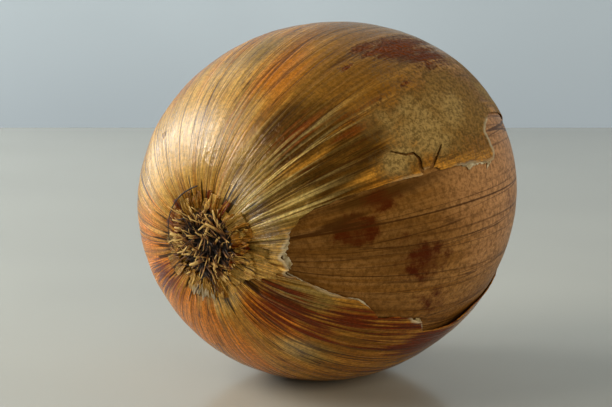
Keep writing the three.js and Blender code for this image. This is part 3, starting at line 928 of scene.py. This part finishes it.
def cut_out(bm, lines):
    """Removes the faces within the lines, and draws the rims that are left onto them."""
    faces = list(bm.faces)
    s, phi, _ = laid_out([f.calc_center_median() for f in faces])
    gone = np.any([line.inside(s, phi) for line in lines], axis=0)
    bmesh.ops.delete(bm, geom=[f for f, out in zip(faces, gone) if out], context="FACES")
    rims = [v for v in bm.verts if v.is_boundary]
    s, phi, r = laid_out([v.co for v in rims])
    nearest = np.array([line.nearest(s, phi, r) for line in lines])
    best = nearest[:, 0].argmin(axis=0)
    for i, vert in enumerate(rims):
        away, to_s, to_phi = nearest[best[i], :, i]
        if away < SNAP:
            vert.co = (math.cos(to_phi), math.sin(to_phi), to_s)


class ONION_OT_outer_skin(bpy.types.Operator):
    """Makes the torn outer skin"""

    bl_idname = "onion.outer_skin"
    bl_label = "Outer skin"

    RINGS = 132
    ROOT_OPENING = 0.05
    FINE_WITHIN = (2.2, 0.7)

    def execute(self, context):
        shape = context.scene.onion_shape
        start = OUTLINE.length * self.ROOT_OPENING
        bm = sleeve(spaced(start, OUTLINE.length, self.RINGS, 0.35), shape.skin_around, False, False)
        lines = [TEAR_LINE, *CRACK_LINES]
        for within in self.FINE_WITHIN:
            refined(bm, lines, within)
        cut_out(bm, lines)
        values = self.place_all(bm, start)
        material = made_of(papery_skin, context)
        piece = finish_piece("papery_outer_skin", bm, material, ["outer_skin"])
        write_values(piece, values)
        thicken(piece, shape.skin_thickness)
        return {"FINISHED"}

    def place_all(self, bm, start):
        """Puts every vertex on the onion, and works out what the material reads there."""
        verts = list(bm.verts)
        s, phi, r = laid_out([v.co for v in verts])
        away = np.min([line.nearest(s, phi, r)[0] for line in (TEAR_LINE, *CRACK_LINES)], axis=0)
        from_tear = TEAR_LINE.nearest(s, phi, r)[0]
        values = {name: [] for name in ("grain", "edge", "near_root", *PATCHES)}
        for i, vert in enumerate(verts):
            turn, length = float(phi[i]), float(s[i])
            root_share = bell(length - start, 1.6)
            length += root_share * 2.4 * abs(streak(turn, 0, 13, 1, 6.6))
            neck_share = min(max((length - OUTLINE.length + 6) / 6, 0), 1)
            at = OUTLINE.at(length)
            at.w += rim_reach(turn) * neck_share
            vert.co = place(at, turn, skin_height(at, turn, float(away[i])))
            values["grain"].append((math.cos(turn), math.sin(turn), length / EQUATOR_RADIUS))
            pale = spread(PALE_EDGES, at.s, turn, at.r) * bell(float(from_tear[i]), 0.9)
            values["edge"].append(pale)
            values["near_root"].append(near_root_rim(at, turn) if at.w < 0 else 0.0)
            for name, patches in PATCHES.items():
                values[name].append(spread(patches, at.s, turn, at.r))
        return values


class ONION_OT_bulb(bpy.types.Operator):
    """Makes the bulb, whose next layer shows in the tear"""

    bl_idname = "onion.bulb"
    bl_label = "Bulb"

    RINGS = 150
    DEEP = -0.9
    SHALLOW = -0.42

    def execute(self, context):
        shape = context.scene.onion_shape
        stations = spaced(1.0, 0.965 * OUTLINE.length, self.RINGS, 0.3)
        bm = sleeve(stations, shape.bulb_around, True, True)
        verts = list(bm.verts)
        s, phi, r = laid_out([v.co for v in verts])
        outside = np.where(TEAR_LINE.inside(s, phi), 0, TEAR_LINE.nearest(s, phi, r)[0])
        values = {name: [] for name in ("grain", "stain", "blush", "shaded")}
        for i, vert in enumerate(verts):
            turn, at = float(phi[i]), OUTLINE.at(float(s[i]))
            on_axis = math.hypot(vert.co.x, vert.co.y) < 0.5
            height = mix(self.SHALLOW, self.DEEP, min(1.0, float(outside[i]) / 6))
            height += 0.05 * streak(turn, at.s, 12, 30, 1.1)
            if on_axis:
                at.r = 0
            vert.co = place(at, turn, height, floor=0.3)
            values["grain"].append((math.cos(turn), math.sin(turn), at.s / EQUATOR_RADIUS))
            for name, patches in (("stain", STAINS), ("blush", BLUSH), ("shaded", PAINTED_SHADE)):
                values[name].append(spread(patches, at.s, turn, at.r))
        material = made_of(brown_inner_skin, context)
        piece = finish_piece("bulb_inner_skin", bm, material, ["bulb"])
        write_values(piece, values)
        return {"FINISHED"}


def add_sheet(bm, across, along, put):
    """Adds a sheet whose vertices go where put(u, v) says, u across and v along, each from 0 to 1."""
    sheet = bmesh.ops.create_grid(bm, x_segments=across, y_segments=along, size=0.5)["verts"]
    places = [(vert.co.x + 0.5, vert.co.y + 0.5) for vert in sheet]
    for vert, (u, v) in zip(sheet, places):
        vert.co = put(u, v)
    return places


def wavy(x, y, seed):
    """Noise from -1 to 1, for ragged ends and wrinkles."""
    return noise.noise(Vector((x, y, 7.7 * seed)))


def rod_template(sides, rings):
    """A closed rod of radius 1 along Z from 0 to 1, ringed so that it can bend."""
    bm = bmesh.new()
    bmesh.ops.create_cone(bm, cap_ends=True, segments=sides, radius1=1, radius2=1, depth=1)
    bmesh.ops.translate(bm, vec=(0, 0, 0.5), verts=bm.verts)
    for i in range(1, rings):
        geometry = list(bm.verts) + list(bm.edges) + list(bm.faces)
        bmesh.ops.bisect_plane(bm, geom=geometry, plane_co=(0, 0, i / rings), plane_no=(0, 0, 1))
    mesh = bpy.data.meshes.new("rod_template")
    bm.to_mesh(mesh)
    bm.free()
    return mesh


FLATNESS = 0.5


def add_rod(bm, template, path, radius, taper):
    """Adds a rod along path(t), t from 0 to 1, in millimetres; returns each new vertex with its t."""
    before = len(bm.verts)
    bm.from_mesh(template)
    bm.verts.ensure_lookup_table()
    made = []
    for vert in bm.verts[before:]:
        x, y, t = vert.co
        ahead = (path(min(t + 0.05, 1)) - path(max(t - 0.05, 0))).normalized()
        side = ahead.cross(ALONG + RIGHT * 0.37).normalized()
        other = ahead.cross(side)
        thick = radius * mix(1, taper, t)
        vert.co = (path(t) + (side * x + other * y * FLATNESS) * thick) * MM
        made.append((vert, t))
    return made


def root_point(reach, turn, rise):
    """A point over the root face: distance from the axis, angle and height out of it, in millimetres."""
    return (
        CENTRE
        + ALONG * (0.4 - ROOT_REACH - rise)
        + UPWARD * reach * math.cos(turn)
        + RIGHT * reach * math.sin(turn)
    )


class ONION_OT_roots(bpy.types.Operator):
    """Makes the root plate and its dry roots"""

    bl_idname = "onion.roots"
    bl_label = "Root tuft"

    PLATE_RADIUS = 7.0
    GOLDEN_TURN = 2.39996

    def execute(self, context):
        shape = context.scene.onion_shape
        draw = random.Random(shape.seed)
        bm = bmesh.new()
        bm.from_mesh(self.plate())
        # The plate gets tone 0: painted shade, nearly black, deep in the tuft
        tones = [0.0] * len(bm.verts)
        template = rod_template(6, 4)
        for k in range(shape.roots):
            self.root(bm, template, draw, k, shape, tones)
        bmesh.ops.recalc_face_normals(bm, faces=bm.faces)
        material = made_of(dry_root, context)
        piece = finish_piece("dry_root_tuft", bm, material, ["root_tuft"])
        write_values(piece, {"tone": tones})
        return {"FINISHED"}

    def plate(self):
        """The uneven plate that the roots grow from."""
        below = [(0.05, -0.5), (6.6, -0.1), (self.PLATE_RADIUS, 0.4)]
        above = [(6, 0.8), (4, 0.5), (1.5, 0.3), (0.05, 0.3)]
        bm = turned(below + above, 48)
        bmesh.ops.remove_doubles(bm, verts=bm.verts, dist=0.06)
        for vert in bm.verts:
            x, y, rise = vert.co
            bump = 0.3 * noise.noise(Vector((x, y, 2.0))) if rise > 0 else 0
            vert.co = root_point(math.hypot(x, y), math.atan2(y, x), rise + bump) * MM
        mesh = bpy.data.meshes.new("root_plate")
        bm.to_mesh(mesh)
        bm.free()
        return mesh

    def root(self, bm, template, draw, k, shape, tones):
        """One root: it leans outwards the more the nearer it is to the rim, bends, and ends broken."""
        reach = mix(0.4, self.PLATE_RADIUS - 0.4, math.sqrt((k + 0.5) / shape.roots))
        edge = reach / self.PLATE_RADIUS
        start = k * self.GOLDEN_TURN
        clump = noise.noise_vector(Vector((reach * math.cos(start), reach * math.sin(start), 5.3)) / 3.2)
        lean = math.radians(min(86, 50 + 28 * edge + 34 * clump.z + draw.uniform(-16, 16)))
        drift = start + 3.0 * clump.x + draw.gauss(0, 0.45 + 2.4 * (1 - edge) ** 2)
        length = draw.uniform(4.0, 5.6) if draw.random() < 0.12 else draw.uniform(1.8, 4.1)
        bow = draw.uniform(-0.4, 0.4)
        twist = draw.uniform(-0.45, 0.45)
        radius = shape.root_thickness / MM / 2 * draw.uniform(0.4, 1.2)
        base = root_point(reach, start, 0.7)
        out = UPWARD * math.cos(drift) + RIGHT * math.sin(drift)
        side = RIGHT * math.cos(drift) - UPWARD * math.sin(drift)
        length *= mix(0.75, 1, min(1, reach / 3))
        straw = draw.random() * mix(0.75, 1, min(1, reach / 3.5))
        if draw.random() < 0.09:
            radius, straw = 1.7 * radius, 0.8

        def path(t):
            run = t * length
            sideways = twist * math.sin(2.4 * t)
            rise = run * math.cos(lean) + bow * math.sin(math.pi * t) * 0.4
            return base - ALONG * rise + out * run * math.sin(lean) + side * sideways

        # Each root darkens towards its base: painted shade down in the tuft
        for _, t in add_rod(bm, template, path, radius, 0.5):
            tones.append(mix(0.0, 0.2 + 1.1 * straw**1.4, t))


# The larger dry scraps round the roots: angle in degrees, width, the lengths at which a scrap is rooted and
# ends, how high the end lifts, and its tone
SCRAPS = [
    (70, 1.9, 7.4, 11.6, 1.2, "olive"),
    (79, 2.1, 7.4, 12.6, 1.3, "umber"),
    (88, 1.9, 7.4, 11.9, 1.0, "rust"),
    (58, 3.2, 12.0, 6.8, 0.8, "olive"),
    (70, 3.4, 12.4, 7.2, 0.7, "umber"),
    (98, 3.2, 7.6, 13.0, 0.6, "olive"),
    (112, 4.4, 7.6, 14.0, 0.5, "straw"),
    (104, 5.2, 9.0, 18.4, 0.5, "straw"),
    (91, 3.0, 9.5, 16.2, 0.45, "olive"),
    (120, 3.0, 11.5, 7.0, 0.6, "olive"),
    (-156, 1.0, 7.2, 12.2, 0.6, "edge"),
    (-163, 0.8, 7.2, 11.6, 0.8, "edge"),
    (-169, 1.2, 7.2, 12.4, 0.5, "edge"),
    (-176, 0.8, 7.0, 11.4, 0.7, "edge"),
    (176, 0.9, 7.0, 12.0, 0.6, "edge"),
    (166, 2.4, 7.0, 12.0, 0.4, "straw"),
]
PLEATS = 64


class ONION_OT_root_scraps(bpy.types.Operator):
    """Makes the dry scraps of skin round the roots"""

    bl_idname = "onion.root_scraps"
    bl_label = "Root scraps"

    THICKNESS = 0.16
    TONED = 0.62
    # How much of the painted slit shade the scraps get
    SLITTED = 0.35

    def execute(self, context):
        draw = random.Random(context.scene.onion_shape.seed + 2)
        bm = bmesh.new()
        names = ("straw", "umber", "olive", "rust", "orange", "edge", "near_root")
        values = {"grain": [], **{name: [] for name in names}}
        pleats = [self.pleat(draw, i) for i in range(PLEATS)]
        for k, (degrees, width, rooted, end, lift, tone) in enumerate(SCRAPS + pleats):
            phi = math.radians(degrees)

            def put(u, v):
                tooth = 0.3 * abs(wavy(4 * u, 1, k)) + 0.3 * abs(wavy(9 * u, 2, k))
                tooth += 0.35 * (2 * u - 1) ** 4
                at = OUTLINE.at(mix(rooted, end, v * (1 - tooth)))
                turn = phi + (u - 0.5) * width / max(at.r, 7) + 0.05 * wavy(2 * v, 3, k)
                wrinkle = 0.3 * wavy(3 * u, 1.5 * v, k) + 0.16 * wavy(10 * u, 3 * v, k)
                return place(at, turn, 0.05 + v**0.6 * (lift * v + wrinkle))

            for u, v in add_sheet(bm, 12, 12, put):
                turn = phi + (u - 0.5) * width / 10
                values["grain"].append((math.cos(turn), math.sin(turn), 0.3 + 3 * k + 0.2 * v))
                for name in names:
                    values[name].append(self.TONED if name == tone else 0.0)
                pale = {"straw": 0.4 * bell(1 - v, 0.1), "edge": mix(0.2, 1, v)}
                values["edge"][-1] = pale.get(tone, 0.0)
                values["near_root"][-1] = self.SLITTED
        piece = finish_piece("root_skin_scraps", bm, made_of(papery_skin, context))
        write_values(piece, values)
        thicken(piece, self.THICKNESS * MM)
        return {"FINISHED"}

    @staticmethod
    def pleat(draw, i):
        """A small pleat of the skin whose free end stands up beside the roots."""
        degrees = (i + draw.uniform(-0.4, 0.4)) * 360 / PLEATS
        below = abs(turn_between(math.radians(degrees), math.pi)) < 0.9
        tone = draw.choice(("straw", "straw", "umber") if below else ("straw", "umber", "olive", "rust"))
        rooted, end = draw.uniform(9, 12), draw.uniform(6.4, 7.6)
        return degrees, draw.uniform(0.9, 2.4), rooted, end, draw.uniform(0.25, 0.8), tone


# Strips of membrane along the tear's edge: the width in millimetres, then distance along the axis and angle
MEMBRANES = [
    (2.6, [(4, 73.9), (5.6, 73.6), (7, 71), (6.6, 68.2), (6.2, 65.2), (8.3, 62.5), (12, 60.5)]),
    (0.8, [(-6, 71.3), (-2.2, 72.2), (2, 73), (5, 73.8)]),
    (0.9, [(-35.6, 76), (-36.4, 85.5), (-36.3, 94), (-35.8, 100)]),
    (0.35, [(-36, 102.8), (-34.6, 105.8), (-32.8, 108), (-30.7, 110), (-28.3, 111.5), (-26.6, 111.2)]),
    (0.3, [(-26.6, 111.2), (-24.6, 113.8), (-21.2, 119.8)]),
    (0.7, [(-13, 120), (-10.6, 122.5), (-9, 126)]),
    (1.1, [(36.5, 72), (39.8, 86), (38, 103), (32, 115), (25, 119.5)]),
]


class ONION_OT_membrane(bpy.types.Operator):
    """Makes the scraps of silvery membrane along the tear"""

    bl_idname = "onion.membrane"
    bl_label = "Torn membrane"

    THICKNESS = 0.06
    WINDOW_MIDDLE = (52, 95)

    def execute(self, context):
        bm = bmesh.new()
        for k, (width, points) in enumerate(MEMBRANES):
            self.strip(bm, k, width, points)
        piece = finish_piece("torn_membrane_scraps", bm, made_of(torn_membrane, context))
        thicken(piece, self.THICKNESS * MM)
        return {"FINISHED"}

    def strip(self, bm, k, width, points):
        """One strip: it is held under the skin's edge and reaches raggedly into the tear."""
        line = [(OUTLINE.length_at(w), math.radians(degrees)) for w, degrees in points]
        middle = (self.WINDOW_MIDDLE[0], math.radians(self.WINDOW_MIDDLE[1]))
        run = sum(
            math.hypot(b[0] - a[0], (b[1] - a[1]) * OUTLINE.at(a[0]).r) for a, b in zip(line, line[1:])
        )

        def put(u, v):
            step = min(int(v * (len(line) - 1)), len(line) - 2)
            (s0, phi0), (s1, phi1) = line[step], line[step + 1]
            share = v * (len(line) - 1) - step
            s, phi = mix(s0, s1, share), mix(phi0, phi1, share)
            r = OUTLINE.at(s).r
            inwards = Vector((middle[0] - s, (middle[1] - phi) * r, 0)).normalized()
            torn_off = max(0.0, 0.75 + 1.1 * wavy(v * run / 1.6, 1, k) + 0.6 * wavy(v * run / 0.5, 2, k))
            reach = mix(-0.5, width * torn_off * math.sin(math.pi * min(max(v, 0.03), 0.97)) ** 0.4, u)
            crumple = 0.3 * max(0.0, wavy(v * run / 1.1, 2 * u, k + 20)) * u
            at = OUTLINE.at(s + inwards.x * reach)
            return place(at, phi + inwards.y * reach / r, -0.25 + crumple)

        add_sheet(bm, 6, max(12, round(run / 0.3)), put)


class ONION_OT_loose_root(bpy.types.Operator):
    """Makes the long loose root that lies over the skin"""

    bl_idname = "onion.loose_root"
    bl_label = "Loose root"

    # Angle in degrees and distance from the axis in millimetres
    COURSE = [(-8, 12.4), (-19.5, 11.8), (-43.5, 10.8), (-67.2, 10.0), (-89.8, 9.7), (-110.2, 9.0)]
    RADIUS = 0.17
    TONE = 0.03

    def execute(self, context):
        bm = bmesh.new()
        rod = add_rod(bm, rod_template(6, 48), self.path, self.RADIUS, 0.8)
        bmesh.ops.recalc_face_normals(bm, faces=bm.faces)
        piece = finish_piece("loose_root", bm, made_of(dry_root, context))
        write_values(piece, {"tone": [self.TONE] * len(rod)})
        return {"FINISHED"}

    def path(self, t):
        """A place on the root in millimetres: it touches down at both ends and arches between them."""
        step = min(int(t * (len(self.COURSE) - 1)), len(self.COURSE) - 2)
        share = t * (len(self.COURSE) - 1) - step
        share = share * share * (3 - 2 * share) * 0.3 + share * 0.7
        (d0, r0), (d1, r1) = self.COURSE[step], self.COURSE[step + 1]
        height = 0.25 + 0.75 * math.sin(math.pi * t) + 0.06 * wavy(9 * t, 0, 1)
        return place(OUTLINE.at(mix(r0, r1, share)), math.radians(mix(d0, d1, share)), height) / MM


class ONION_OT_neck(bpy.types.Operator):
    """Makes the dry leaf ends that twist together in the neck"""

    bl_idname = "onion.neck"
    bl_label = "Neck"

    LEAVES = 10
    ROOTED = 46
    THICKNESS = 0.22
    TONED = 0.8
    GRAIN_RADIUS = 9

    def execute(self, context):
        draw = random.Random(context.scene.onion_shape.seed + 1)
        bm = bmesh.new()
        names = ("straw", "umber", "olive", "rust")
        values = {"grain": [], **{name: [] for name in names}}
        for k in range(self.LEAVES):
            start = k * 2.4 + draw.uniform(-0.3, 0.3)
            span = math.radians(draw.uniform(90, 170))
            twist = draw.uniform(0.5, 1.0)
            radius = mix(1.0, 4.4, ((k + 0.5) / self.LEAVES) ** 0.6)
            length = draw.uniform(14, 18.5) - 1.5 * radius / 4
            tone = draw.choice(names)

            def put(u, v):
                tooth = 0.12 * abs(wavy(3 * u, 1, k)) + 0.08 * abs(wavy(12 * u, 2, k))
                tooth += 0.12 * (2 * u - 1) ** 4
                w = self.ROOTED + length * v * (1 - tooth)
                turn = start + (u - 0.5) * span * mix(1, 0.75, v) + twist * v
                out = radius * (1 + 0.3 * v**3) + 0.5 * wavy(3 * u, 2.5 * v, k)
                out += 0.2 * wavy(10 * u, 4 * v, k)
                return place(Station(w, max(out, 0.3), 0, 0, 0), turn, 0)

            for u, v in add_sheet(bm, 24, 28, put):
                turn = start + (u - 0.5) * span
                far = radius / self.GRAIN_RADIUS
                values["grain"].append((math.cos(turn) * far, math.sin(turn) * far, k + 0.4 * v))
                for name in names:
                    values[name].append(self.TONED if name == tone else 0.0)
        piece = finish_piece("neck_leaf_ends", bm, made_of(papery_skin, context))
        write_values(piece, values)
        thicken(piece, self.THICKNESS * MM)
        return {"FINISHED"}


class ONION_OT_stage(bpy.types.Operator):
    """Makes the table, the lights and the camera"""

    bl_idname = "onion.stage"
    bl_label = "Stage"

    TABLE_END = 0.44
    REACH = 1.6
    DROP = 0.3
    LAMP_DISTANCE = 0.75

    def execute(self, context):
        scene = context.scene
        colours = scene.onion_colours
        _, _, back = self.directions()
        turn = Matrix.Rotation(math.atan2(back.x, -back.y), 4, "Z")
        middle = self.TABLE_END - self.REACH
        flat = Matrix.Translation((0, middle, 0))
        self.board("table_top", turn @ flat, colours.table, roughness=0.17, glow=0)
        behind = Matrix.Translation((0, self.TABLE_END + 0.06, self.REACH - self.DROP))
        upright = behind @ Matrix.Rotation(math.pi / 2, 4, "X")
        self.board("backdrop", turn @ upright, colours.backdrop, roughness=0.9, glow=0.5)
        self.lights(scene)
        self.camera(scene)
        scene.view_settings.view_transform = "Standard"
        return {"FINISHED"}

    @staticmethod
    def directions():
        """The camera's right, up and back."""
        azimuth, elevation = CAMERA_AZIMUTH, CAMERA_ELEVATION
        right = Vector((math.cos(azimuth), math.sin(azimuth), 0))
        level = math.cos(elevation)
        back = Vector((math.sin(azimuth) * level, -math.cos(azimuth) * level, math.sin(elevation)))
        return right, back.cross(right), back

    def board(self, name, matrix, colour, roughness, glow):
        """A square board as wide as the stage: the table top, or the evenly lit wall beyond it."""
        bm = bmesh.new()
        bmesh.ops.create_grid(bm, x_segments=1, y_segments=1, size=self.REACH, matrix=matrix)
        mesh = bpy.data.meshes.new(name)
        bm.to_mesh(mesh)
        bm.free()
        material, tree, shader = new_material(name)
        spot = add(tree, "ShaderNodeTexCoord", out=3)
        cloud = add(tree, "ShaderNodeTexNoise", {0: spot, "Scale": 6, "Detail": 2})
        shaded = tuple(0.9 * c for c in colour)
        tint = add(tree, "ShaderNodeMapRange", {0: cloud, 1: 0.3, 2: 0.7}, **SMOOTH)
        ground = add(tree, "ShaderNodeMix", {0: tint, 6: rgba(colour), 7: rgba(shaded)}, **BLEND)
        tree.links.new(ground, shader.inputs["Base Color"])
        tree.links.new(ground, shader.inputs["Emission Color"])
        shader.inputs["Emission Strength"].default_value = glow
        shader.inputs["Roughness"].default_value = roughness
        mesh.materials.append(material)
        stage = bpy.data.objects.new(name, mesh)
        bpy.context.scene.collection.objects.link(stage)

    def lights(self, scene):
        """A soft box and two windows on the left, a reflector on the right, and a fill from the front."""
        right, up, back = self.directions()
        for name, place_at, size, power, colour in (
            ("soft_box", (-0.82, 0.46, -0.33), 0.28, 2.6, (1.0, 0.99, 0.95)),
            ("window", (-0.75, 0.55, 0.25), 0.5, 3.4, (1.0, 0.93, 0.82)),
            ("low_window", (-0.9, 0.38, -0.12), 0.5, 1.4, (1.0, 0.92, 0.78)),
            ("reflector", (0.92, 0.28, 0.2), 0.6, 1.3, (1.0, 0.92, 0.78)),
            ("front_fill", (0.35, 0.22, 0.91), 0.5, 1.9, (1.0, 0.89, 0.68)),
        ):
            light = bpy.data.lights.new(name, "AREA")
            light.shape = "SQUARE"
            light.size = size
            light.energy = power
            light.color = colour
            lamp = bpy.data.objects.new(name, light)
            towards = right * place_at[0] + up * place_at[1] + back * place_at[2]
            lamp.location = CENTRE * MM + towards.normalized() * self.LAMP_DISTANCE
            lamp.rotation_euler = towards.to_track_quat("Z", "Y").to_euler()
            scene.collection.objects.link(lamp)
        world = bpy.data.worlds.new("dark_room")
        world.color = (0, 0, 0)
        scene.world = world

    def camera(self, scene):
        right, up, back = self.directions()
        camera = bpy.data.cameras.new("camera")
        camera.lens = LENS
        camera.sensor_width = SENSOR
        camera.sensor_fit = "HORIZONTAL"
        camera.clip_start = 0.01
        eye = bpy.data.objects.new("camera", camera)
        spot = CENTRE + back * CAMERA_DISTANCE - right * CAMERA_ASIDE - up * CAMERA_RAISED
        turn = Matrix((right, up, back)).transposed().to_4x4()
        eye.matrix_world = Matrix.Translation(spot * MM) @ turn
        scene.collection.objects.link(eye)
        scene.camera = eye


class ONION_PT_panel(bpy.types.Panel):
    """The onion's pieces and settings"""

    bl_idname = "ONION_PT_panel"
    bl_label = "Onion"
    bl_space_type = "VIEW_3D"
    bl_region_type = "UI"
    bl_category = "Onion"

    def draw(self, context):
        layout = self.layout
        for operator in OPERATORS:
            layout.operator(operator.bl_idname)
        for settings in (context.scene.onion_shape, context.scene.onion_colours):
            box = layout.box()
            for name in settings.__annotations__:
                box.prop(settings, name)


OPERATORS = [
    ONION_OT_stage,
    ONION_OT_bulb,
    ONION_OT_outer_skin,
    ONION_OT_membrane,
    ONION_OT_neck,
    ONION_OT_roots,
    ONION_OT_root_scraps,
    ONION_OT_loose_root,
]
CLASSES = [OnionShape, OnionColours, *OPERATORS, ONION_PT_panel]


def register():
    for cls in CLASSES:
        bpy.utils.register_class(cls)
    bpy.types.Scene.onion_shape = PointerProperty(type=OnionShape)
    bpy.types.Scene.onion_colours = PointerProperty(type=OnionColours)


def unregister():
    del bpy.types.Scene.onion_colours
    del bpy.types.Scene.onion_shape
    for cls in reversed(CLASSES):
        bpy.utils.unregister_class(cls)


def main():
    register()
    for operator in OPERATORS:
        group, name = operator.bl_idname.split(".")
        getattr(getattr(bpy.ops, group), name)()


if __name__ == "__main__":
    main()
